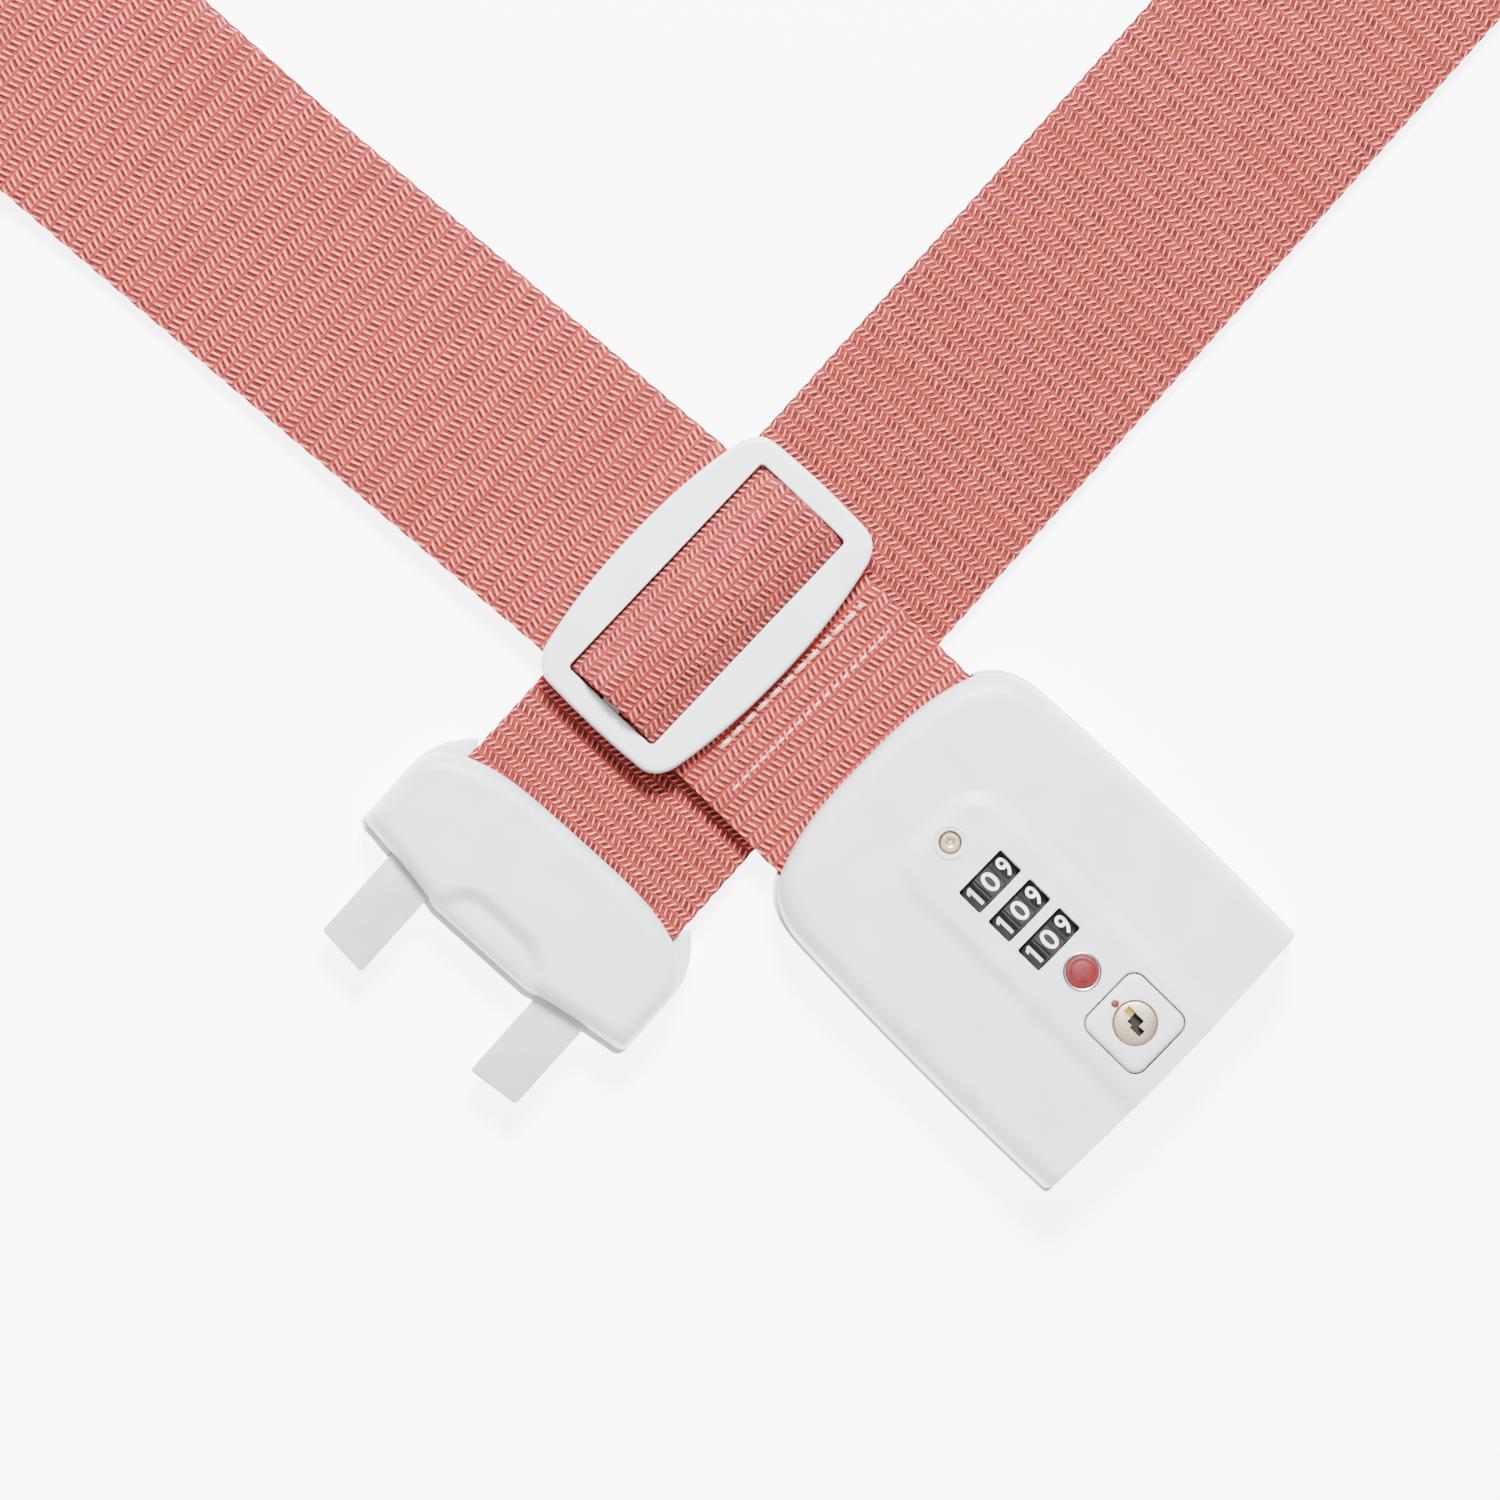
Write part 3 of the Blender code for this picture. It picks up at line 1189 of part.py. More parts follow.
def sewn_tail(parent):
    """The short end that comes back from the lock's bar under the upper layer."""
    at = np.linspace(LOCK_BEND_AT + GAP, SLIDER_AT - 19 * MM, 4)
    line = [(-d, upper_web_bottom(d) + WEB_THICK / 2 - STACK) for d in at[::-1]]
    return loop_strip(line, "webbing_sewn_tail", parent)


def main():
    clear_scene()
    strap = empty("strap")
    lock_bend = empty("lock_flex_axis", (-LOCK_BEND_AT, 0, upper_web_bottom(LOCK_BEND_AT) + WEB_THICK),
                      parent=strap)
    lock_frame = empty("lock", (LOCK_BEND_AT, 0, -lock_bend.location.z), parent=lock_bend)
    male_bend_z = MALE_RISE + STACK + WEB_THICK
    out = direction(MALE_HEADING) * MALE_BEND_AT
    male_bend = empty("male_flex_axis", (MALE_PLACE[0] + out[0], MALE_PLACE[1] + out[1], male_bend_z),
                      (0, 0, MALE_TURN), strap)
    male_frame = empty("male", (MALE_BEND_AT, 0, -male_bend_z), parent=male_bend)
    slider_z = upper_web_bottom(SLIDER_AT) + WEB_THICK + GAP
    slider_frame_empty = empty("slider", (-SLIDER_AT, SLIDER_SHIFT, slider_z),
                               (0, -SLOPE_ANGLE, SLIDER_TURN), strap)
    lock(lock_frame)
    lock_end_loop(lock_frame)
    male(male_frame)
    male_end_loop(male_frame)
    slider_frame(slider_frame_empty)
    sewn_end(slider_frame_empty)
    slider_hump(slider_frame_empty)
    route = Route()
    start = MALE_BEND_AT + GAP
    run_mesh(route, 1, start, route.reach(LOCK_BEND_AT + GAP, 1), "webbing_upper_run", strap)
    run_mesh(route, 0, start, route.reach(SLIDER_AT - 2.1 * MM, 0), "webbing_lower_run", strap)
    sewn_tail(strap)


main()
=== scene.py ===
"""Looks of a luggage strap with a dial lock buckle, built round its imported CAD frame.

The strap is a doubled 50 mm webbing that lies folded in a loop. It ends in a lock
housing with three dials, a release button and a key cylinder, and in a buckle with
two prongs. An adjuster slides on it. Positions are in metres in the CAD frame: the
origin is under the middle of the lock housing, +X points out of its mouth, +Z up.
"""

import logging
import math
from dataclasses import dataclass, field
from enum import Enum
from typing import Callable, Optional, Sequence

import bmesh
import bpy
import numpy as np
from mathutils import Matrix, Vector


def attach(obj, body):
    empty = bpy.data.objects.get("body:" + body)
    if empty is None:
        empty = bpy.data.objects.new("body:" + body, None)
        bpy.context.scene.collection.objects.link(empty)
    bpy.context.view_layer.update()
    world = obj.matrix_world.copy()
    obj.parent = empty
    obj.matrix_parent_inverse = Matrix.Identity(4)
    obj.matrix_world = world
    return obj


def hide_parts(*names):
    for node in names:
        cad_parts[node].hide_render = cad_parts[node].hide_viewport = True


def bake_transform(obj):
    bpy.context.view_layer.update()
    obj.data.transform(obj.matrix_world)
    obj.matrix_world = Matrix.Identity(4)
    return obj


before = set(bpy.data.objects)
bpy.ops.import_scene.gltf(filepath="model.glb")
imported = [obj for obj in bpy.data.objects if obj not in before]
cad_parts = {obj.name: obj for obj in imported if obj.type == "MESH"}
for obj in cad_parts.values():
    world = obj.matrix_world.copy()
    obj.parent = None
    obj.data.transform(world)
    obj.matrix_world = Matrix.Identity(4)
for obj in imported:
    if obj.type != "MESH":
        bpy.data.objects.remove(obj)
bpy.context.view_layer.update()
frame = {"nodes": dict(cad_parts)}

logging.basicConfig(level=logging.INFO, format="%(levelname)s %(message)s")
LOG = logging.getLogger("strap")

MM = 0.001
Array = np.ndarray


class Body(str, Enum):
    """CAD bodies that the pieces ride on."""

    STRAP = "strap"
    LOCK = "lock"
    RESET = "reset"
    BUTTON = "button"
    KEY = "key"
    MALE = "male"
    SLIDER = "slider"


class Slot(str, Enum):
    """Material slots of the record."""

    HOUSING = "housing_plastic"
    SLIDER = "slider_plastic"
    WEBBING = "webbing"
    STEEL = "steel"
    DIAL = "dial_plastic"
    BRASS = "brass"
    ZINC = "zinc"
    NICKEL = "nickel_silver"
    BADGE = "badge_enamel"


class Operation(str, Enum):
    """What a tool does to a piece."""

    CUT = "DIFFERENCE"
    JOIN = "UNION"


# ---------------------------------------------------------------- small helpers


def linear(hex_colour: str) -> tuple[float, float, float, float]:
    """Converts an sRGB hex colour to linear RGBA.

    Args:
        hex_colour: six hex digits.

    Returns:
        Linear red, green, blue and an alpha of 1.
    """
    values = [int(hex_colour[i : i + 2], 16) / 255 for i in (0, 2, 4)]
    low, high = 0.04045, 12.92
    red, green, blue = (v / high if v <= low else ((v + 0.055) / 1.055) ** 2.4 for v in values)
    return red, green, blue, 1.0


def smooth_step(share: Array) -> Array:
    """Eases from 0 to 1: three squares minus two cubes of the clipped share.

    Args:
        share: any values; below 0 gives 0 and above 1 gives 1.

    Returns:
        The eased values.
    """
    t = np.clip(share, 0, 1)
    return t * t * (3 - 2 * t)


def bell(distance: Array, width: float) -> Array:
    """A bell curve: e to the minus square of distance over width.

    Args:
        distance: distances from the middle.
        width: the distance at which it has fallen to 1/e.

    Returns:
        Values from 0 to 1.
    """
    return np.exp(-((distance / width) ** 2))


def mirrored(half: Array) -> Array:
    """Closes an outline from its half on +Y.

    Args:
        half: (n, 2) points that start and end on the X axis.

    Returns:
        (2n - 2, 2) points, all the way round.
    """
    other = half[1:-1][::-1] * np.array((1.0, -1.0))
    return np.concatenate([half, other])


def curve_through(a: Sequence[float], control: Sequence[float], b: Sequence[float], count: int) -> Array:
    """Points of a quadratic Bezier curve, without its last one.

    Args:
        a: start point.
        control: point that it bends towards.
        b: end point.
        count: number of points.

    Returns:
        (count, 2) points: (1-t)^2 a + 2t(1-t) control + t^2 b for t from 0 up to 1.
    """
    t = np.arange(count)[:, None] / count
    start, middle, end = (np.array(p, float) for p in (a, control, b))
    return (1 - t) ** 2 * start + 2 * t * (1 - t) * middle + t * t * end


def rounded_box(length: float, width: float, radius: float, steps: int = 8) -> Array:
    """The outline of a rectangle with round corners.

    Args:
        length: size along X.
        width: size along Y.
        radius: corner radius.
        steps: segments per corner.

    Returns:
        (4 * (steps + 1), 2) points, counter-clockwise.
    """
    turn = np.linspace(0, math.pi / 2, steps + 1)
    corners = []
    for index, (sx, sy) in enumerate(((1, 1), (-1, 1), (-1, -1), (1, -1))):
        angle = turn + index * math.pi / 2
        middle = np.array((sx * (length / 2 - radius), sy * (width / 2 - radius)))
        corners.append(middle + radius * np.stack([np.cos(angle), np.sin(angle)], axis=1))
    return np.concatenate(corners)


def disc(radius: float, count: int = 48) -> Array:
    """The outline of a circle.

    Args:
        radius: its radius.
        count: number of points.

    Returns:
        (count, 2) points, counter-clockwise.
    """
    angle = np.arange(count) * 2 * math.pi / count
    return radius * np.stack([np.cos(angle), np.sin(angle)], axis=1)


def lifted(outline: Array, height: float | Array) -> Array:
    """Puts a flat outline at a height.

    Args:
        outline: (n, 2) points.
        height: one height or one per point.

    Returns:
        (n, 3) points.
    """
    return np.column_stack([outline, np.broadcast_to(height, len(outline))])


def make_object(name: str, points: Array, faces: list, sharp: float = 35.0) -> bpy.types.Object:
    """Makes an object from points and faces, with its faces pointing out.

    Args:
        name: the object's name.
        points: (n, 3) points.
        faces: lists of point numbers.
        sharp: edges that turn more than this many degrees stay sharp.

    Returns:
        The new object, in the scene.
    """
    mesh = bpy.data.meshes.new(name)
    mesh.from_pydata(np.asarray(points, float).tolist(), [], faces)
    held = bmesh.new()
    held.from_mesh(mesh)
    bmesh.ops.recalc_face_normals(held, faces=held.faces)
    held.to_mesh(mesh)
    held.free()
    mesh.shade_smooth()
    mesh.set_sharp_from_angle(angle=math.radians(sharp))
    made = bpy.data.objects.new(name, mesh)
    bpy.context.scene.collection.objects.link(made)
    return made


def grid_faces(rings: int, count: int, around: bool = False) -> list:
    """Quads between neighbouring rings of points.

    Args:
        rings: number of rings.
        count: points in each ring, which is closed.
        around: whether the last ring joins the first one.

    Returns:
        Lists of four point numbers.
    """
    i = np.arange(rings if around else rings - 1)[:, None]
    j = np.arange(count)[None, :]
    above, beside = (i + 1) % rings, (j + 1) % count
    corners = [i * count + j, i * count + beside, above * count + beside, above * count + j]
    return np.stack([np.broadcast_to(c, (len(i), count)) for c in corners], axis=-1).reshape(-1, 4).tolist()


def loft(name: str, rings: Sequence[Array], around: bool = False, sharp: float = 35.0) -> bpy.types.Object:
    """A closed body through rings of points.

    Args:
        name: the object's name.
        rings: arrays of (n, 3) points, all of the same length.
        around: whether the last ring joins the first, as on a turned piece.
        sharp: edges that turn more than this many degrees stay sharp.

    Returns:
        The new object.
    """
    stacked = np.stack(rings)
    count = stacked.shape[1]
    faces = grid_faces(len(rings), count, around)
    if not around:
        faces.append(list(range(count)))
        faces.append(list(range((len(rings) - 1) * count, len(rings) * count)))
    return make_object(name, stacked.reshape(-1, 3), faces, sharp)


def turned(name: str, profile: Array, axis: str = "Z", steps: int = 64) -> bpy.types.Object:
    """A body of revolution whose profile starts and ends on the axis.

    Args:
        name: the object's name.
        profile: (n, 2) points of (radius, height).
        axis: "Z" or "X".
        steps: segments around.

    Returns:
        The new object.
    """
    angle = np.arange(steps) * 2 * math.pi / steps
    rings = []
    for radius, height in np.maximum(profile, np.array((0.002 * MM, -1.0))):
        across, up = radius * np.cos(angle), radius * np.sin(angle)
        level = np.full(steps, height)
        rings.append(np.column_stack([across, up, level] if axis == "Z" else [level, across, up]))
    return loft(name, rings)


def tool(outline: Array, low: float, high: float, flare: float = 0.0) -> bpy.types.Object:
    """A prism that cuts an opening, with a small flare at its top.

    Args:
        outline: (n, 2) points.
        low: height of its bottom.
        high: height of the surface that it opens.
        flare: how much wider the mouth of the opening is.

    Returns:
        The tool, left out of the picture.
    """
    middle = outline.mean(axis=0)
    reach = np.abs(outline - middle).max()
    wide = middle + (outline - middle) * (1 + flare / reach)
    wider = middle + (outline - middle) * (1 + 3 * flare / reach)
    rings = [lifted(outline, low), lifted(outline, high - flare), lifted(wide, high)]
    rings.append(lifted(wider, high + 2 * MM))
    made = loft("tool", rings)
    made.hide_render = True
    return made


def shape(piece: bpy.types.Object, tools: Sequence[bpy.types.Object], how: Operation = Operation.CUT,
          sharp: float = 35.0) -> bpy.types.Object:
    """Cuts tools out of a piece, or joins them to it, and keeps the outcome as its mesh.

    Args:
        piece: the object that changes.
        tools: objects that are used up.
        how: the operation.
        sharp: edges that turn more than this many degrees stay sharp.

    Returns:
        The piece.
    """
    for used in tools:
        modifier = piece.modifiers.new("shape", "BOOLEAN")
        modifier.operation = how.value
        modifier.solver = "EXACT"
        modifier.object = used
    bpy.context.view_layer.update()
    evaluated = piece.evaluated_get(bpy.context.evaluated_depsgraph_get())
    mesh = bpy.data.meshes.new_from_object(evaluated)
    piece.modifiers.clear()
    piece.data = mesh
    for used in tools:
        bpy.data.objects.remove(used)
    mesh.shade_smooth()
    mesh.set_sharp_from_angle(angle=math.radians(sharp))
    return piece


def placed(points: Array, matrix: Matrix) -> Array:
    """Moves points by a matrix.

    Args:
        points: (n, 3) points.
        matrix: the frame that they are given in.

    Returns:
        (n, 3) points in the CAD frame.
    """
    held = np.array(matrix)
    return points @ held[:3, :3].T + held[:3, 3]


def settle(piece: bpy.types.Object, matrix: Matrix) -> bpy.types.Object:
    """Moves a piece's mesh into the CAD frame and leaves the object itself at the origin.

    Args:
        piece: the object.
        matrix: the frame that its mesh is given in.

    Returns:
        The piece.
    """
    piece.data.transform(matrix)
    return piece


# ---------------------------------------------------------------- finishes


def add_node(
    tree: bpy.types.NodeTree, kind: str, settings: Optional[dict] = None, **sockets
) -> bpy.types.Node:
    """Adds a shader node, sets its properties and fills its sockets.

    Args:
        tree: the material's node tree.
        kind: the node's type.
        settings: properties of the node.
        **sockets: value, or output socket to link, for each input by name or by _number.

    Returns:
        The node.
    """
    made = tree.nodes.new(kind)
    for key, value in (settings or {}).items():
        setattr(made, key, value)
    for key, value in sockets.items():
        socket = made.inputs[int(key[1:]) if key[0] == "_" else key.replace("_", " ")]
        if isinstance(value, bpy.types.NodeSocket):
            tree.links.new(value, socket)
        else:
            socket.default_value = value
    return made


def maths(tree: bpy.types.NodeTree, operation: str, first, second=0.0, third=0.0) -> bpy.types.NodeSocket:
    """One Math node.

    Args:
        tree: the material's node tree.
        operation: its operation.
        first: value or socket.
        second: value or socket.
        third: value or socket.

    Returns:
        Its output socket.
    """
    made = add_node(tree, "ShaderNodeMath", {"operation": operation}, _0=first, _1=second, _2=third)
    return made.outputs[0]


def mixed(tree: bpy.types.NodeTree, share, first, second) -> bpy.types.NodeSocket:
    """Blends two colours.

    Args:
        tree: the material's node tree.
        share: how much of the second one.
        first: colour or socket.
        second: colour or socket.

    Returns:
        The colour output.
    """
    made = add_node(tree, "ShaderNodeMix", {"data_type": "RGBA"}, _0=share, _6=first, _7=second)
    return made.outputs[2]


def object_mm(
    tree: bpy.types.NodeTree, stretch: tuple[float, float, float] = (1, 1, 1)
) -> bpy.types.NodeSocket:
    """Object coordinates in millimetres.

    Args:
        tree: the material's node tree.
        stretch: extra scale on each axis.

    Returns:
        The vector output.
    """
    place = add_node(tree, "ShaderNodeTexCoord").outputs["Object"]
    scale = tuple(s / MM for s in stretch)
    return stretched(tree, place, scale)


def noise(tree: bpy.types.NodeTree, place: bpy.types.NodeSocket, size_mm: float, detail: float = 3.0,
          rough: float = 0.5) -> bpy.types.NodeSocket:
    """Noise of a given size.

    Args:
        tree: the material's node tree.
        place: coordinates in millimetres.
        size_mm: size of its features.
        detail: octaves.
        rough: weight of the finer octaves.

    Returns:
        Its value, about 0.5 in the middle.
    """
    made = add_node(
        tree, "ShaderNodeTexNoise", Vector=place, Scale=1 / size_mm, Detail=detail, Roughness=rough)
    return made.outputs["Fac"]


def ranged(tree: bpy.types.NodeTree, value, low: float, high: float, to_low: float = 0.0,
           to_high: float = 1.0) -> bpy.types.NodeSocket:
    """Maps a value smoothly from one range to another.

    Args:
        tree: the material's node tree.
        value: the socket.
        low: start of its range.
        high: end of its range.
        to_low: what low becomes.
        to_high: what high becomes.

    Returns:
        The mapped value.
    """
    made = add_node(
        tree, "ShaderNodeMapRange", {"interpolation_type": "SMOOTHSTEP"},
        _0=value, _1=low, _2=high, _3=to_low, _4=to_high)
    return made.outputs[0]


def stretched(
    tree: bpy.types.NodeTree, place: bpy.types.NodeSocket, scale: tuple[float, float, float]
) -> bpy.types.NodeSocket:
    """Scales a place along each axis.

    Args:
        tree: the material's nodes.
        place: the vector to scale.
        scale: the factor along each axis.

    Returns:
        The scaled vector.
    """
    return add_node(
        tree, "ShaderNodeVectorMath", {"operation": "MULTIPLY"}, _0=place, _1=scale).outputs[0]


def start_material(name: str) -> tuple[bpy.types.Material, bpy.types.NodeTree, bpy.types.Node]:
    """A new material with its Principled shader.

    Args:
        name: its name.

    Returns:
        The material, its node tree and the shader node.
    """
    made = bpy.data.materials.new(name)
    made.use_nodes = True
    return made, made.node_tree, made.node_tree.nodes["Principled BSDF"]


@dataclass(frozen=True)
class MouldedPlastic:
    """Injection-moulded ABS with a fine spark-eroded grain."""

    name: str
    colour: str
    shade: str
    roughness: float = 0.42
    grain_mm: float = 0.22
    grain_depth_mm: float = 0.006
    coat: float = 0.0

    def build(self) -> bpy.types.Material:
        """Makes the material.

        Returns:
            Plastic with mottled colour, faint handling marks and a bump for the grain.
        """
        made, tree, shader = start_material(self.name)
        place = object_mm(tree)
        cloud = ranged(tree, noise(tree, place, 9.0, 2.0), 0.35, 0.65)
        fine = noise(tree, place, self.grain_mm, 4.0, 0.6)
        colour = mixed(tree, cloud, linear(self.colour), linear(self.shade))
        speck = ranged(tree, noise(tree, place, 0.5, 2.0), 0.70, 0.78, 0.0, 0.25)
        colour = mixed(tree, speck, colour, linear(self.shade))
        marks = noise(tree, object_mm(tree, (1.0, 0.08, 1.0)), 1.3, 4.0, 0.7)
        worn = ranged(tree, marks, 0.58, 0.75, 0.0, 0.10)
        rough = maths(tree, "ADD", maths(tree, "MULTIPLY_ADD", fine, 0.10, self.roughness - 0.05), worn)
        bump = add_node(tree, "ShaderNodeBump", Height=fine, Strength=0.5, Distance=self.grain_depth_mm * MM)
        tree.links.new(colour, shader.inputs["Base Color"])
        tree.links.new(rough, shader.inputs["Roughness"])
        tree.links.new(bump.outputs[0], shader.inputs["Normal"])
        shader.inputs["Coat Weight"].default_value = self.coat
        shader.inputs["Coat Roughness"].default_value = 0.12
        return made


@dataclass(frozen=True)
class Metal:
    """Turned, drawn or cast metal with fine lines and specks."""

    name: str
    colour: str
    tarnish: str
    roughness: float = 0.28
    speck_mm: float = 0.35
    specks: float = 0.35
    lines: tuple[float, float, float] = (1.0, 1.0, 6.0)

    def build(self) -> bpy.types.Material:
        """Makes the material.

        Returns:
            Metal with tarnished specks, drawn lines and uneven gloss.
        """
        made, tree, shader = start_material(self.name)
        place = object_mm(tree)
        spots = ranged(tree, noise(tree, place, self.speck_mm, 4.0, 0.7), 0.45, 0.68, 0.0, self.specks)
        colour = mixed(tree, spots, linear(self.colour), linear(self.tarnish))
        drawn = noise(tree, object_mm(tree, self.lines), 0.35, 3.0)
        rough = maths(tree, "MULTIPLY_ADD", drawn, 0.25, self.roughness - 0.08)
        bump = add_node(tree, "ShaderNodeBump", Height=drawn, Strength=0.4, Distance=0.01 * MM)
        tree.links.new(colour, shader.inputs["Base Color"])
        tree.links.new(rough, shader.inputs["Roughness"])
        tree.links.new(bump.outputs[0], shader.inputs["Normal"])
        shader.inputs["Metallic"].default_value = 1.0
        return made


@dataclass(frozen=True)
class PolyesterWebbing:
    """Heavy ribbed polyester webbing: rows of slanted stitches with pits between them."""

    name: str = "polyester_webbing"
    # light is the painted highlight colour of the raised yarn
    light: str = "DE7268"
    body: str = "98332C"
    shade: str = "7A2420"
    # deep is the painted shade colour of the slits and grooves between the stitches
    deep: str = "480B0A"
    attribute: str = "weave"
    lean: float = 0.55
    counter_lean: float = 0.8
    strands: tuple[float, float, float] = (22.0, 3.0, 1.0)
    bands: tuple[float, float, float] = (0.6, 0.02, 0.0)

    def build(self) -> bpy.types.Material:
        """Makes the material.

        The attribute's first value counts rows along the strap, its second one stitches
        across it and its third one says how tightly it is pulled. The stitches lean one
        way in even rows and the other way in odd ones, and a slit is left between them
        in the middle of each row. The slits and the grooves beside the row ends are
        painted shade in the deep colour.

        Returns:
            Webbing whose colour, gloss and bump follow the stitches; the colour carries a painted highlight
            on the raised yarn.
        """
        made, tree, shader = start_material(self.name)
        weave = add_node(tree, "ShaderNodeAttribute", {"attribute_name": self.attribute}).outputs["Vector"]
        parts = add_node(tree, "ShaderNodeSeparateXYZ", Vector=weave)
        wobble = noise(tree, weave, 1.6, 2.0)
        row = maths(tree, "MULTIPLY_ADD", wobble, 0.12, parts.outputs[0])
        stitch = maths(tree, "MULTIPLY_ADD", wobble, 0.35, parts.outputs[1])
        within = maths(tree, "FRACT", row)
        pair = maths(tree, "FRACT", maths(tree, "MULTIPLY", row, 0.5))
        odd = maths(tree, "FLOOR", maths(tree, "MULTIPLY", pair, 2.0))
        lean = maths(tree, "MULTIPLY_ADD", odd, self.lean + self.counter_lean, -self.lean)
        phase = maths(tree, "MULTIPLY_ADD", lean, maths(tree, "SUBTRACT", within, 0.5), stitch)
        wave = maths(tree, "COSINE", maths(tree, "MULTIPLY", phase, 2 * math.pi))
        arch = maths(tree, "SINE", maths(tree, "MULTIPLY", within, math.pi))
        closed = maths(tree, "MULTIPLY_ADD", parts.outputs[2], -0.75, wave)
        closed = maths(tree, "MULTIPLY_ADD", odd, 0.3, closed)
        # Painted shade: the slit, pit and groove masks darken the gaps between stitches towards the deep
        # colour
        slit = ranged(tree, closed, -0.7, 0.2, 1.0, 0.0)
        uneven = ranged(tree, noise(tree, weave, 0.9, 2.0), 0.32, 0.62, 0.35, 1.0)
        length = maths(tree, "MULTIPLY_ADD", odd, -0.2, arch)
        ends = ranged(tree, length, 0.25, 0.65)
        pit = maths(tree, "MULTIPLY", maths(tree, "MULTIPLY", slit, uneven), ends)
        beside = ranged(tree, arch, 0.0, 0.30, 0.55, 0.0)
        groove = maths(tree, "MULTIPLY", beside, ranged(tree, wave, -0.6, 0.9, 0.8, 0.1))
        pit = maths(tree, "MAXIMUM", pit, groove)
        strand = stretched(tree, weave, self.strands)
        fibre = noise(tree, strand, 1.0, 3.0, 0.6)
        round_yarn = ranged(tree, arch, 0.05, 0.7, 0.2, 1.0)
        yarn = maths(tree, "MULTIPLY", ranged(tree, wave, -0.6, 0.9), round_yarn)
        pitted = maths(tree, "SUBTRACT", yarn, maths(tree, "MULTIPLY", pit, 0.9))
        cord = maths(tree, "MULTIPLY_ADD", fibre, 0.22, pitted)
        # Painted highlight: the higher the yarn, the more of the light colour, as where light catches the
        # stitch tops
        high = ranged(tree, cord, 0.35, 1.05)
        colour = mixed(tree, high, linear(self.body), linear(self.light))
        # Painted shade in the slits and grooves
        colour = mixed(tree, pit, colour, linear(self.deep))
        along = stretched(tree, weave, self.bands)
        cloud = ranged(tree, noise(tree, along, 1.0, 3.0), 0.42, 0.75, 0.0, 0.45)
        colour = mixed(tree, cloud, colour, linear(self.shade))
        bump = add_node(tree, "ShaderNodeBump", Height=cord, Strength=0.9, Distance=0.32 * MM)
        tree.links.new(colour, shader.inputs["Base Color"])
        tree.links.new(bump.outputs[0], shader.inputs["Normal"])
        tree.links.new(ranged(tree, cord, 0.0, 1.0, 0.8, 0.42), shader.inputs["Roughness"])
        shader.inputs["Sheen Weight"].default_value = 0.04
        shader.inputs["Sheen Roughness"].default_value = 0.4
        shader.inputs["Specular IOR Level"].default_value = 0.35
        return made


@dataclass(frozen=True)
class Paint:
    """A thin coat of paint, enamel or thread with its own fine texture."""

    name: str
    colour: str
    shade: str
    roughness: float = 0.35
    texture_mm: float = 0.4
    depth_mm: float = 0.01
    coat: float = 0.0

    def build(self) -> bpy.types.Material:
        """Makes the material.

        Returns:
            A coat with a slightly uneven surface and colour.
        """
        made, tree, shader = start_material(self.name)
        value = noise(tree, object_mm(tree), self.texture_mm, 3.0)
        colour = mixed(tree, ranged(tree, value, 0.3, 0.7), linear(self.colour), linear(self.shade))
        bump = add_node(tree, "ShaderNodeBump", Height=value, Strength=0.5, Distance=self.depth_mm * MM)
        tree.links.new(colour, shader.inputs["Base Color"])
        tree.links.new(bump.outputs[0], shader.inputs["Normal"])
        rough = maths(tree, "MULTIPLY_ADD", value, 0.12, self.roughness - 0.06)
        tree.links.new(rough, shader.inputs["Roughness"])
        shader.inputs["Coat Weight"].default_value = self.coat
        shader.inputs["Coat Roughness"].default_value = 0.06
        return made


@dataclass
class Finishes:
    """Every material, made once."""

    # Light grey ABS of the lock and the pronged buckle
    housing: bpy.types.Material = field(
        default_factory=MouldedPlastic("housing_abs", "D6D8DB", "CED1D4").build)
    # Plastic of the prong frame, darker grey as painted shade for the shadow that the low prongs lie in
    frame: bpy.types.Material = field(
        default_factory=MouldedPlastic("prong_plastic_painted_shade", "BFC2C5", "B7BABE").build)
    # Paler acetal of the adjuster
    slider: bpy.types.Material = field(
        default_factory=MouldedPlastic("adjuster_acetal", "E6E8EA", "DFE2E4", 0.45).build)
    # Rose polyester webbing
    webbing: bpy.types.Material = field(default_factory=PolyesterWebbing().build)
    # Bonded nylon sewing thread in the webbing's colour
    thread: bpy.types.Material = field(
        default_factory=Paint("bonded_nylon_thread", "F0B4AC", "C46860", 0.25, 0.18, 0.03).build)
    # Black nylon of the dial wheels
    dial: bpy.types.Material = field(
        default_factory=MouldedPlastic("dial_nylon", "050505", "0C0C0D", 0.36, 0.3, 0.004, 0.12).build)
    # White ink of the digits
    ink: bpy.types.Material = field(
        default_factory=Paint("digit_ink", "F4F4F2", "E4E4E0", 0.5, 0.3, 0.004).build)
    # Zinc-plated steel
    steel: bpy.types.Material = field(default_factory=Metal("plated_steel", "C4C1BA", "8F8B82").build)
    # Brass sleeves
    brass: bpy.types.Material = field(default_factory=Metal("turned_brass", "C9A24B", "8C6C2C").build)
    # Cast zinc of the fence
    zinc: bpy.types.Material = field(default_factory=Metal("cast_zinc", "9C9EA0", "77797B", 0.45).build)
    # Nickel silver of the key cylinder, worn through in places
    nickel: bpy.types.Material = field(
        default_factory=Metal("nickel_silver", "C9B8A2", "7A5C40", 0.42, 0.3, 0.85, (1.0, 1.0, 1.0)).build)
    # Red enamel of the badge
    enamel: bpy.types.Material = field(
        default_factory=Paint("badge_enamel", "6E0008", "560006", 0.38, 1.5, 0.02, 0.12).build)
    # Red paint of the lock indicator
    red: bpy.types.Material = field(
        default_factory=Paint("indicator_red", "7A0606", "640505", 0.5, 0.3).build)
    # Unlit bottom of the keyway
    dark: bpy.types.Material = field(
        default_factory=Paint("keyway_black", "080706", "15110D", 0.8, 0.5).build)


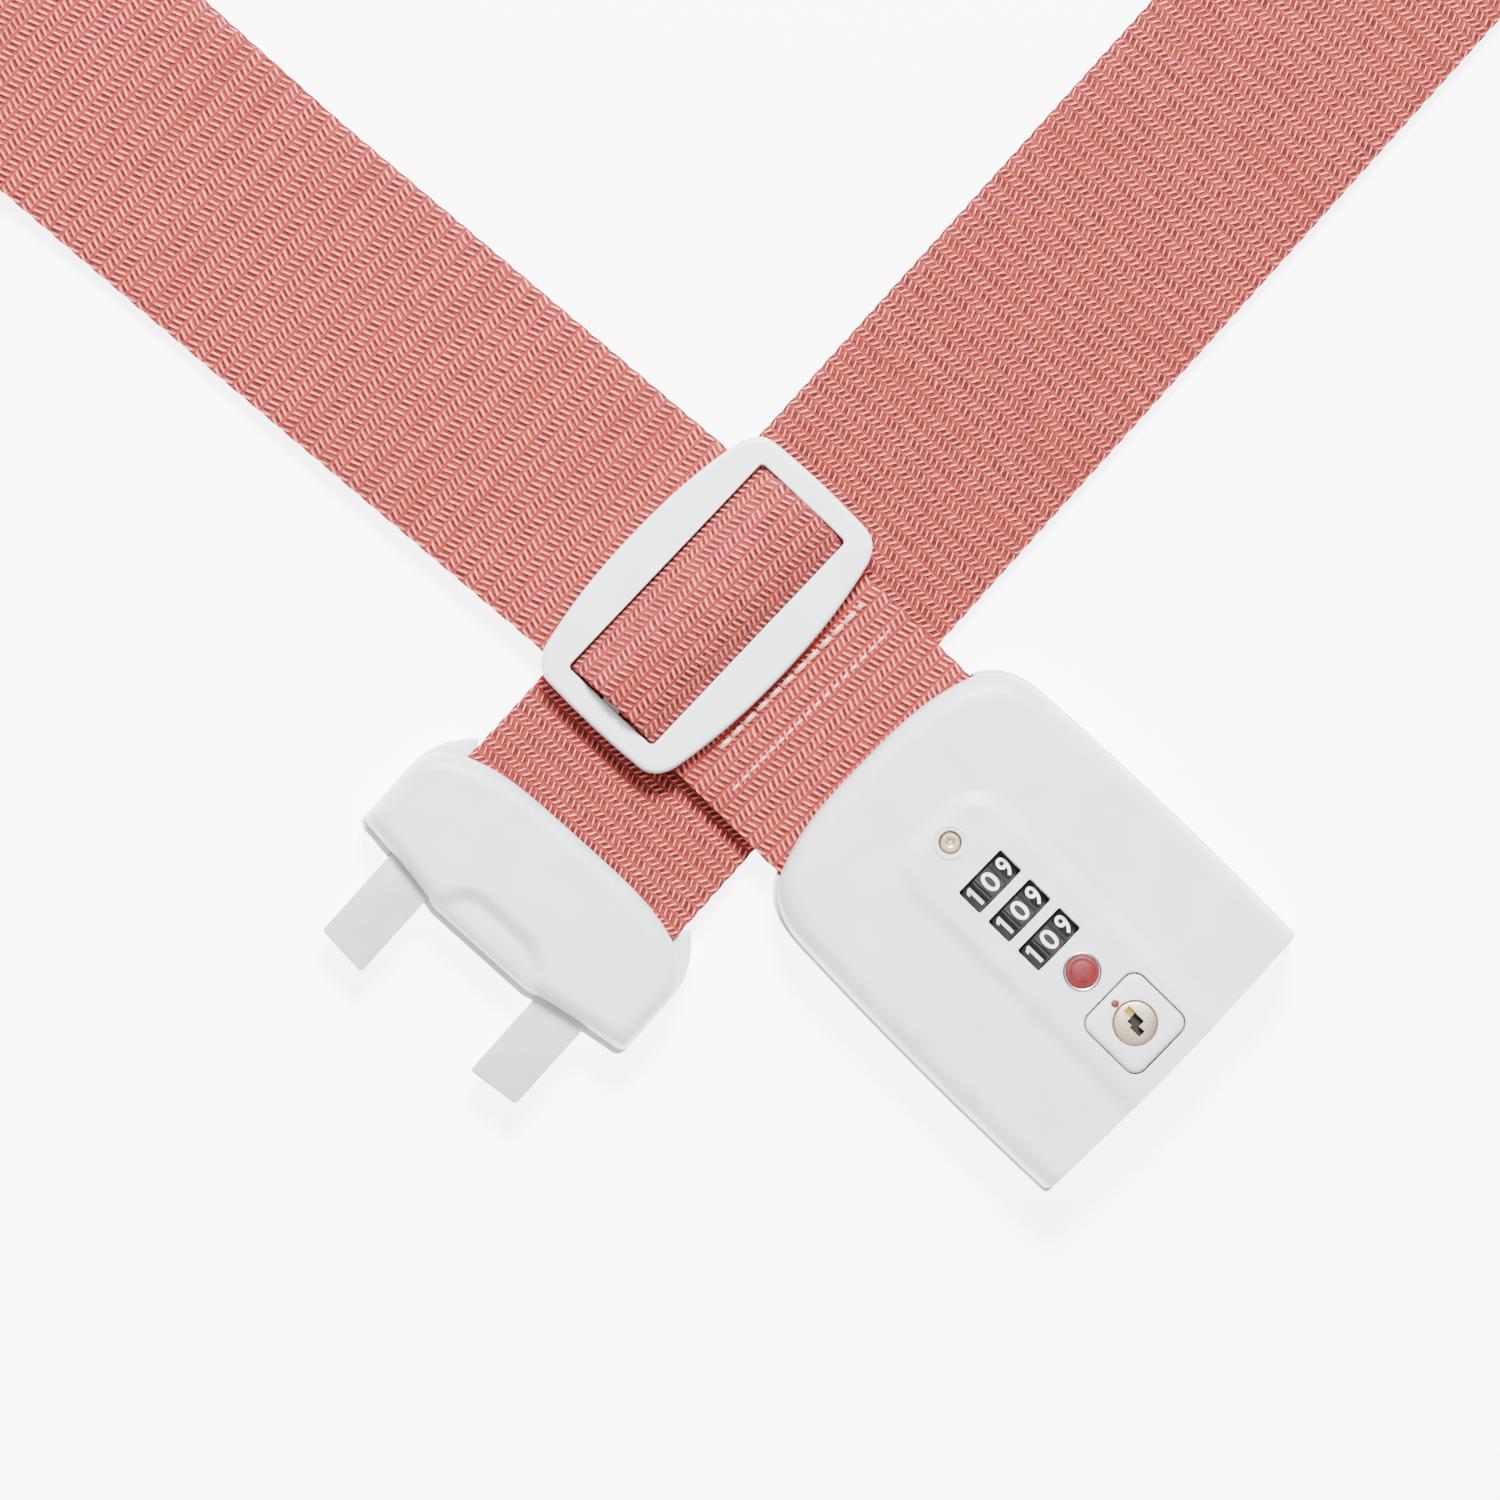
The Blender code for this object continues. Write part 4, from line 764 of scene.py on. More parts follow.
def dress(piece: bpy.types.Object, finish: bpy.types.Material, body: Optional[Body],
          replaces: Sequence[str] = ()) -> bpy.types.Object:
    """Gives a piece its finish and its place among the bodies.

    Args:
        piece: the object.
        finish: its material.
        body: the CAD body that it rides on, or None to leave it unattached.
        replaces: CAD nodes that it stands for.

    Returns:
        The piece.
    """
    piece.data.materials.clear()
    piece.data.materials.append(finish)
    if body is not None:
        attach(piece, body.value)
    if replaces:
        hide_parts(*replaces)
    LOG.info("%s: %d faces", piece.name, len(piece.data.polygons))
    return piece


def refinish(finish: bpy.types.Material, *nodes: str) -> None:
    """Puts a finish on CAD nodes that stay as they are.

    Args:
        finish: the material.
        *nodes: their names.
    """
    for name in nodes:
        mesh = frame["nodes"][name].data
        mesh.materials.clear()
        mesh.materials.append(finish)


# ---------------------------------------------------------------- housings


@dataclass
class Shell:
    """A moulded half with a crowned top, a rolled edge and an open, hollow underside."""

    name: str
    outline: Callable[[float], Array]
    low: float
    high: float
    wall: float
    edge_width: float
    edge_height: float
    crown: Callable[[Array], Array]
    draft: float = 0.3 * MM
    base_inset: float = 0.0
    middle: tuple[float, float] = (0.0, 0.0)
    rings_in: int = 70
    edge_steps: int = 14
    sunk: float = 0.0

    def top(self, outline: Array) -> Array:
        """Points on the crowned face.

        Args:
            outline: (n, 2) points.

        Returns:
            (n, 3) points at the top's height plus the crown.
        """
        return lifted(outline, self.high + self.crown(outline))

    def rings(self) -> list[Array]:
        """Rings from the inside of the ceiling, down, round the rim and up over the outside.

        The edge is a quarter of an ellipse: height follows the sine and inset one minus
        the cosine of the same angle. Inside it the outline shrinks towards the middle.

        Returns:
            Arrays of (n, 3) points.
        """
        made = []
        centre = np.array(self.middle)
        ceiling = self.high - self.wall - self.sunk
        inner = self.outline(self.base_inset + self.wall + self.edge_width * 0.5)
        for share in (0.02, 0.5, 1.0):
            made.append(lifted(centre + (inner - centre) * share, ceiling))
        made.append(lifted(self.outline(self.base_inset + self.wall), self.low + (ceiling - self.low) * 0.5))
        made.append(lifted(self.outline(self.base_inset + self.wall), self.low))
        made.append(lifted(self.outline(self.base_inset + 0.15 * MM), self.low))
        made.append(lifted(self.outline(self.base_inset), self.low + 0.15 * MM))
        foot = self.high - self.edge_height
        for share in (0.33, 0.66):
            made.append(lifted(self.outline(self.base_inset + self.draft * share),
                               self.low + (foot - self.low) * share))
        for step in range(self.edge_steps + 1):
            angle = math.pi / 2 * step / self.edge_steps
            inset = self.base_inset + self.draft + self.edge_width * (1 - math.cos(angle))
            line = self.outline(inset)
            height = foot + self.edge_height * math.sin(angle)
            made.append(lifted(line, height + self.crown(line) * math.sin(angle)))
        rim = self.outline(self.base_inset + self.draft + self.edge_width)
        for share in np.linspace(1, 0.012, self.rings_in)[1:]:
            made.append(self.top(centre + (rim - centre) * share))
        return made

    def build(self) -> bpy.types.Object:
        """Makes the shell.

        Returns:
            The new object.
        """
        return loft(self.name, self.rings())


@dataclass(frozen=True)
class LockSizes:
    """Sizes of the lock housing and of what shows in its top."""

    length: float = 81.6 * MM
    half_width: float = 33.8 * MM
    height: float = 15.6 * MM
    seam: float = 7.75 * MM
    wall: float = 1.8 * MM
    rear_bow: float = 3.2 * MM
    mouth_bow: float = 0.8 * MM
    plateau_half: float = 11.2 * MM
    plateau_start: float = -22.6 * MM
    plateau_height: float = 0.95 * MM
    plateau_soft: float = 3.0 * MM
    plateau_corner: float = 6.5 * MM
    dial_middle: float = -0.4 * MM
    dial_pitch: float = 7.6 * MM
    dial_width: float = 5.0 * MM
    dial_radius: float = 6.9 * MM
    dial_height: float = 10.0 * MM
    window_length: float = 11.2 * MM
    pin_at: float = -18.3 * MM
    badge_at: float = 15.7 * MM
    button_at: float = 29.3 * MM
    button_side: float = 14.3 * MM
    key_radius: float = 4.1 * MM


@dataclass
class LockHousing:
    """The three-dial lock with its button, key cylinder and covers."""

    finishes: Finishes
    sizes: LockSizes = field(default_factory=LockSizes)

    def half_width(self, x: Array, inset: float) -> Array:
        """The side bows out a little towards the mouth: it loses 0.6 per metre times square of x - 17 mm.

        Args:
            x: positions along the housing.
            inset: how far inside the outer wall.

        Returns:
            Half widths.
        """
        return self.sizes.half_width - inset - 0.6 * (x - 17 * MM) ** 2

    def outline(self, inset: float) -> Array:
        """The housing from above, with matching points for every inset.

        Args:
            inset: how far inside the outer wall.

        Returns:
            (n, 2) points.
        """
        rear, mouth = -self.sizes.length / 2 + inset, self.sizes.length / 2 - min(inset, 0.5 * MM)
        shoulder = self.sizes.half_width - 8.8 * MM - inset * 0.8
        y = np.linspace(0, shoulder, 16, endpoint=False)
        back = np.column_stack([rear + self.sizes.rear_bow * (y / shoulder) ** 3, y])
        end_x = rear + 16 * MM
        end_y = float(self.half_width(np.array(end_x), inset))
        control = (rear + self.sizes.rear_bow + 0.361 * (end_y - shoulder), end_y - 0.4 * MM)
        corner = curve_through((rear + self.sizes.rear_bow, shoulder), control, (end_x, end_y), 26)
        x = np.linspace(end_x, mouth - 1.7 * MM, 40)
        side = np.column_stack([x, self.half_width(x, inset)])
        last = float(self.half_width(np.array(mouth), inset))
        bow = self.sizes.mouth_bow
        stop = (mouth - bow * 0.85, last - 1.0 * MM)
        tip = curve_through(side[-1], (mouth - bow * 0.95, last), stop, 8)[1:]
        y = np.linspace(last - 1.0 * MM, 0, 22)
        front = np.column_stack([mouth - bow * 0.9 * (y / last) ** 2, y])
        return mirrored(np.concatenate([back, corner, side, tip, front]))

    def crown(self, place: Array) -> Array:
        """Height of the raised middle: it eases up over its soft edge and is round behind.

        The distance outside a rounded box is the length of what exceeds its core, less the
        corner radius. The height falls with it by the smooth step.

        Args:
            place: (n, 2) points.

        Returns:
            Heights over the flat of the top.
        """
        s = self.sizes
        over_x = np.maximum(s.plateau_start + s.plateau_corner - place[:, 0], 0)
        over_y = np.maximum(np.abs(place[:, 1]) - (s.plateau_half - s.plateau_corner), 0)
        outside = np.hypot(over_x, over_y) - s.plateau_corner
        share = 0.5 - outside / s.plateau_soft
        raised = s.plateau_height * (0.6 * np.clip(share, 0, 1) + 0.4 * smooth_step(share))
        dome = -0.25 * MM * (place[:, 1] / s.half_width) ** 2
        return raised + dome

    def top_height(self) -> float:
        """Height of the raised middle.

        Returns:
            Its height over the table.
        """
        return self.sizes.height + self.sizes.plateau_height

    def prong_slots(self) -> list[bpy.types.Object]:
        """Tools for the two channels in the mouth.

        Returns:
            Two blocks.
        """
        tools = []
        for side in (-1, 1):
            outline = rounded_box(8 * MM, 11.3 * MM, 0.5 * MM) + np.array((38.8 * MM, side * 18.8 * MM))
            tools.append(loft("tool", [lifted(outline, z) for z in (5.8 * MM, 10.2 * MM)]))
        return tools

    def webbing_slot(self) -> bpy.types.Object:
        """The tool for the wide slot at the rear.

        Returns:
            A block.
        """
        outline = rounded_box(11 * MM, 52 * MM, 0.6 * MM) + np.array((-self.sizes.length / 2 + 3.5 * MM, 0))
        return loft("tool", [lifted(outline, z) for z in (2.6 * MM, 10.2 * MM)])

    def covers(self) -> None:
        """Builds both halves of the housing with their openings."""
        s = self.sizes
        top = Shell("lock_top", self.outline, s.seam + 0.15 * MM, s.height, s.wall, 3.6 * MM, 3.8 * MM,
                    self.crown, base_inset=0.45 * MM).build()
        level = self.top_height()
        tools = [
            tool(rounded_box(s.dial_width + 0.5 * MM, s.window_length, 0.45 * MM)
                 + np.array((s.dial_middle + k * s.dial_pitch, 0)), s.seam, level, 0.14 * MM)
            for k in (-1, 0, 1)
        ]
        opening = rounded_box(s.button_side + 0.6 * MM, s.button_side + 0.6 * MM, 2.7 * MM)
        tools.append(tool(opening + np.array((s.button_at, 0)), s.seam, level, 0.2 * MM))
        tools.append(tool(disc(2.15 * MM) + np.array((s.pin_at, 0)), s.seam, level, 0.2 * MM))
        tools.append(self.webbing_slot())
        shape(top, tools + self.prong_slots())
        dress(top, self.finishes.housing, Body.LOCK, ["lock_top_cover"])
        bottom = self.lower_cover()
        shape(bottom, [self.webbing_slot(), *self.prong_slots()])
        dress(bottom, self.finishes.housing, Body.LOCK, ["lock_bottom_cover"])

    def lower_cover(self) -> bpy.types.Object:
        """The lower half, as a tray with screw holes in its flat underside.

        Returns:
            The new object.
        """
        s = self.sizes
        top = s.seam - 0.15 * MM
        steps = [(0.0, 2.1 * MM), (0.15 * MM, 1.6 * MM), (0.5 * MM, 0.9 * MM), (1.1 * MM, 0.45 * MM),
                 (2.2 * MM, 0.2 * MM), (5.0 * MM, 0.05 * MM), (top - 0.15 * MM, 0.0), (top, 0.15 * MM),
                 (top, s.wall), (2.4 * MM, s.wall), (1.7 * MM, s.wall + 0.8 * MM)]
        tray = loft("lock_bottom", [lifted(self.outline(inset), z) for z, inset in steps])
        holes = []
        for x, y in ((34.0, 28.2), (-19.0, 27.0)):
            for side in (-1, 1):
                holes.append(tool(disc(2.45 * MM) + np.array((x, side * y)) * MM, -1 * MM, 1.4 * MM))
        shape(tray, holes)
        bosses = []
        for x, y in ((34.0, 28.2), (-19.0, 27.0)):
            for side in (-1, 1):
                boss = disc(2.8 * MM) + np.array((x, side * y)) * MM
                bosses.append(loft("tool", [lifted(boss, z) for z in (1.3 * MM, top - 0.3 * MM)]))
        return shape(tray, self.bored(bosses), Operation.JOIN)

    @staticmethod
    def bored(bosses: list[bpy.types.Object]) -> list[bpy.types.Object]:
        """Gives each boss its bore for the screw's shank.

        Args:
            bosses: solid pillars.

        Returns:
            The same pillars, as tubes.
        """
        for boss in bosses:
            points = np.array([v.co for v in boss.data.vertices])
            middle = points[:, :2].mean(axis=0)
            bore = tool(disc(1.4 * MM, 24) + middle, -1 * MM, 9 * MM)
            shape(boss, [bore])
            boss.hide_render = True
        return bosses

    def dials(self) -> None:
        """Builds the wheels and their digits."""
        s = self.sizes
        digits = self.digit_band()
        for index in range(3):
            x = s.dial_middle + (index - 1) * s.dial_pitch
            wheel = self.wheel(f"dial_{index + 1}")
            settle(wheel, Matrix.Translation((x, 0, s.dial_height)))
            dress(wheel, self.finishes.dial, None, [f"dial_wheel_{index + 1}"])
            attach(wheel, f"dial_{index + 1}")
            ink = bpy.data.objects.new(f"dial_{index + 1}_digits", digits.copy())
            bpy.context.scene.collection.objects.link(ink)
            settle(ink, Matrix.Translation((x, 0, s.dial_height)))
            dress(ink, self.finishes.ink, None)
            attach(ink, f"dial_{index + 1}")

    def rim(self, angle: Array) -> Array:
        """Radius of a wheel's cells: the full radius less a share of the squared cosine of five angles.

        Args:
            angle: round the wheel, 0 in the middle of a cell.

        Returns:
            Radii.
        """
        return self.sizes.dial_radius - 0.22 * MM * np.cos(angle * 5) ** 2

    def wheel(self, name: str) -> bpy.types.Object:
        """A wheel whose rim has ten shallow cells with a double ridge between them.

        The rim's radius is the wheel's, less a share of the squared cosine of five times the
        angle, plus two bells on each side of a cell's edge.

        Args:
            name: the object's name.

        Returns:
            The new object.
        """
        s = self.sizes
        angle = np.arange(720) * 2 * math.pi / 720
        offset = ((angle / (math.pi / 5) + 0.5) % 1.0 - 0.5) * s.dial_radius * math.pi / 5
        edge = s.dial_radius * math.pi / 10
        from_edge = np.minimum(np.abs(offset - edge), np.abs(offset + edge))
        ridge = 0.16 * MM * bell(from_edge - 0.3 * MM, 0.14 * MM)
        rim = np.minimum(self.rim(angle) + ridge, s.dial_radius + 0.12 * MM)
        half = s.dial_width / 2
        bore = np.full(720, 2.8 * MM)
        chamfer = rim - 0.3 * MM
        plan = [
            (-half, bore), (-half, chamfer), (-half + 0.25 * MM, rim),
            (half - 0.25 * MM, rim), (half, chamfer), (half, bore),
        ]
        rings = []
        for x, reach in plan:
            across, up = -reach * np.sin(angle), reach * np.cos(angle)
            rings.append(np.column_stack([np.full(720, x), across, up]))
        return loft(name, rings, around=True, sharp=40)

    @staticmethod
    def glyph(digit: int) -> bmesh.types.BMesh:
        """One flat digit, 3.9 mm tall, with its middle at the origin.

        Args:
            digit: from 0 to 9. A one is drawn here, because it needs a flag that shows.

        Returns:
            A closed mesh, a little thick in Z.
        """
        part = bmesh.new()
        if digit == 1:
            outline = [
                (-0.15, -1.95), (0.7, -1.95), (0.7, 1.95), (0.1, 1.95),
                (-0.8, 1.4), (-0.8, 0.7), (-0.15, 1.05),
            ]
            made = loft("digit", [lifted(np.array(outline) * MM, z) for z in (-MM, MM)])
            part.from_mesh(made.data)
            bpy.data.objects.remove(made)
            return part
        text = bpy.data.curves.new("digit", "FONT")
        text.body = str(digit)
        text.offset, text.extrude = 0.014, 0.006
        made = bpy.data.objects.new("digit", text)
        bpy.context.scene.collection.objects.link(made)
        bpy.context.view_layer.update()
        mesh = bpy.data.meshes.new_from_object(made.evaluated_get(bpy.context.evaluated_depsgraph_get()))
        bpy.data.objects.remove(made)
        part.from_mesh(mesh)
        bpy.data.meshes.remove(mesh)
        bmesh.ops.remove_doubles(part, verts=part.verts, dist=1e-5)
        place = np.array([v.co for v in part.verts])
        low, high = place.min(axis=0), place.max(axis=0)
        flat = (place - (low + high) / 2) / (high - low) * np.array((2.75, 3.9, 1.0)) * MM
        for vert, spot in zip(part.verts, flat):
            vert.co = spot
        return part

    def digit_band(self) -> bpy.types.Mesh:
        """Ten digits wrapped round the rim, each lying with its top towards -X.

        A glyph's height runs along the wheel's axis. Its width becomes an angle: distance
        over radius, counted from the cell's middle.

        Returns:
            One mesh with all ten.
        """
        s = self.sizes
        held = bmesh.new()
        for digit in range(10):
            part = self.glyph(digit)
            for vert in part.verts:
                vert.co.z = 0.02 * MM if vert.co.z > 0 else -0.16 * MM
            for cut in np.linspace(-1.2, 1.2, 9) * MM:
                geometry = part.verts[:] + part.edges[:] + part.faces[:]
                bmesh.ops.bisect_plane(part, geom=geometry, plane_co=(cut, 0, 0), plane_no=(1, 0, 0))
            turn = digit * math.pi / 5
            for vert in part.verts:
                around = turn - vert.co.x / s.dial_radius
                radius = float(self.rim(around)) + vert.co.z
                vert.co = (-vert.co.y, -radius * math.sin(around), radius * math.cos(around))
            mesh = bpy.data.meshes.new("digit")
            part.to_mesh(mesh)
            part.free()
            held.from_mesh(mesh)
            bpy.data.meshes.remove(mesh)
        bmesh.ops.recalc_face_normals(held, faces=held.faces)
        band = bpy.data.meshes.new("digits")
        held.to_mesh(band)
        held.free()
        return band

    def controls(self) -> None:
        """Builds the reset pin, the button, the key cylinder and the badge."""
        s, level = self.sizes, self.top_height()
        groove = [
            (0, -0.15), (0.45, -0.15), (0.6, 0.12), (1.0, 0.22), (1.05, 0.02),
            (1.3, 0.02), (1.35, 0.22), (1.6, 0.2), (1.88, -0.1), (1.9, -2.0),
            (2.7, -2.2), (2.7, -3.2), (1.2, -3.2), (1.2, -9.8), (0, -9.8),
        ]
        pin = turned("reset_button", np.array(groove) * MM)
        settle(pin, Matrix.Translation((s.pin_at, 0, level)))
        dress(pin, self.finishes.nickel, Body.RESET, ["reset_pin"])
        ring = [(2.75, -0.1), (2.8, 0.1), (3.0, 0.22), (3.2, 0.1), (3.25, -0.1)]
        collar = self.rim_ring("reset_collar", np.array(ring) * MM, level, s.pin_at)
        dress(collar, self.finishes.housing, Body.LOCK)
        self.button(level)
        face = [
            (0, 0.62), (1.4, 0.6), (2.0, 0.5), (2.1, 0.38), (2.3, 0.38),
            (2.4, 0.5), (3.0, 0.42), (3.15, 0.15), (3.2, -0.4), (0, -0.4),
        ]
        badge = turned("badge_disc", np.array(face) * MM)
        settle(badge, Matrix.Translation((s.badge_at, 0, level - 0.1 * MM)))
        dress(badge, self.finishes.enamel, Body.LOCK, ["badge"])
        rim = [(3.2, -0.1), (3.22, 0.22), (3.4, 0.3), (3.6, 0.2), (3.7, -0.1)]
        bezel = self.rim_ring("badge_bezel", np.array(rim) * MM, level, s.badge_at)
        dress(bezel, self.finishes.steel, Body.LOCK)

    @staticmethod
    def rim_ring(name: str, profile: Array, level: float, x: float) -> bpy.types.Object:
        """A ring that lies on the top.

        Args:
            name: the object's name.
            profile: (n, 2) closed profile of (radius, height).
            level: height of the surface.
            x: position of its middle.

        Returns:
            The new object.
        """
        angle = np.arange(72) * 2 * math.pi / 72
        rings = [np.column_stack([x + r * np.cos(angle), r * np.sin(angle), np.full(72, level + h)])
                 for r, h in profile]
        return loft(name, rings, around=True)

    def button(self, level: float) -> None:
        """Builds the square button with its bevel, the bore and the key cylinder in it.

        Args:
            level: height of the raised middle.
        """
        s = self.sizes
        side, proud = s.button_side, 0.4 * MM
        steps = [(-11.2, 0.0), (-0.45, 0.0), (-0.12, 0.12), (0.12, 0.4), (0.3, 0.8), (0.38, 1.25), (0.4, 1.8)]
        rings = [lifted(rounded_box(side - 2 * w * MM, side - 2 * w * MM, 2.4 * MM - w * 0.7 * MM),
                        level + h * MM) for h, w in steps]
        button = loft("release_square", rings)
        inside = rounded_box(11.6 * MM, 11.6 * MM, 1.6 * MM)
        hollow = loft("tool", [lifted(inside, z) for z in (4 * MM, 10.6 * MM)])
        between = rounded_box(20 * MM, 10.2 * MM, 0.5 * MM)
        legs = loft("tool", [lifted(between, z) for z in (4 * MM, 10.0 * MM)])
        bore = tool(disc(s.key_radius + 0.15 * MM, 64), 2 * MM, level + proud, 0.12 * MM)
        shape(button, [hollow, legs, bore])
        settle(button, Matrix.Translation((s.button_at, 0, 0)))
        dress(button, self.finishes.housing, Body.BUTTON, ["release_button"])
        face = [(0, 0.3), (3.75, 0.3), (3.95, 0.22), (4.1, 0.0), (4.1, -9.4), (0, -9.4)]
        key = turned("key_barrel", np.array(face) * MM, steps=72)
        settle(key, Matrix.Translation((s.button_at, 0, level + proud - 0.1 * MM)))
        way = np.array([
            (-3.0, 0.1), (-1.3, 0.1), (-1.3, -0.8), (-0.2, -0.8), (-0.2, -1.3),
            (2.3, -1.3), (2.3, 0.1), (0.9, 0.1), (0.9, 1.4), (-3.0, 1.4),
        ]) * MM
        way = way + np.array((s.button_at, 0))
        floor = level - 3 * MM
        shape(key, [loft("tool", [lifted(way, z) for z in (floor, level + 3 * MM)])])
        dress(key, self.finishes.nickel, Body.KEY, ["key_cylinder"])
        # Painted shadow: a near-black block fills the keyway below its mouth, for the shade down the hole
        inset = np.array((s.button_at, 0)) + (way - np.array((s.button_at, 0))) * 0.995
        black = loft("keyway_painted_shadow", [lifted(inset, z) for z in (floor + 0.01 * MM, level - 0.6 * MM)])
        dress(black, self.finishes.dark, Body.KEY)
        pin = rounded_box(1.6 * MM, 1.1 * MM, 0.2 * MM) + np.array((s.button_at - 2.1 * MM, 0.75 * MM))
        shown = loft("keyway_tumbler", [lifted(pin, z) for z in (level - 2 * MM, level - 0.35 * MM)])
        dress(shown, self.finishes.brass, Body.KEY)
        bead = np.array([(0, 0.05), (0.65, 0.04), (0.8, -0.02), (0.8, -0.2), (0, -0.2)]) * MM
        dot = turned("indicator_dot", bead, steps=40)
        settle(dot, Matrix.Translation((s.button_at - 5.15 * MM, 0, level + proud)))
        dress(dot, self.finishes.red, Body.BUTTON)
        ring = np.array([(0.55, -0.05), (0.58, 0.05), (0.7, 0.08), (0.82, 0.05), (0.85, -0.05)]) * MM
        mark = self.rim_ring("indicator_ring", ring, level + proud, 0.0)
        settle(mark, Matrix.Translation((s.button_at, 5.35 * MM, 0)))
        dress(mark, self.finishes.housing, Body.BUTTON)

    def build(self) -> None:
        """Builds everything on the lock."""
        self.covers()
        self.dials()
        self.controls()
        refinish(
            self.finishes.steel, "lock_webbing_bar", "dial_shaft", "dial_spring", "reset_spring",
            "cylinder_cam", "latch_plate", "latch_spring_left", "latch_spring_right",
            *(f"lock_screw_{i}" for i in range(1, 5)))
        refinish(self.finishes.brass, *(f"dial_sleeve_{i}" for i in range(1, 4)))
        refinish(self.finishes.zinc, "locking_fence")


@dataclass(frozen=True)
class MaleSizes:
    """Sizes of the pronged buckle."""

    place: tuple[float, float] = (-67.1 * MM, -60.6 * MM)
    turn: float = math.radians(272.4)
    depth: float = 27.7 * MM
    half_width: float = 32.5 * MM
    height: float = 12.4 * MM
    seam: float = 5.9 * MM
    wall: float = 1.7 * MM
    lip: float = 1.1 * MM
    shoulder: float = 25.6 * MM
    recess_depth: float = 1.7 * MM
    prong_spacing: float = 37.6 * MM
    prong_width: float = 10.5 * MM
    prong_thick: float = 3.6 * MM
    prong_reach: float = 31.6 * MM
    prong_middle: float = 6.0 * MM


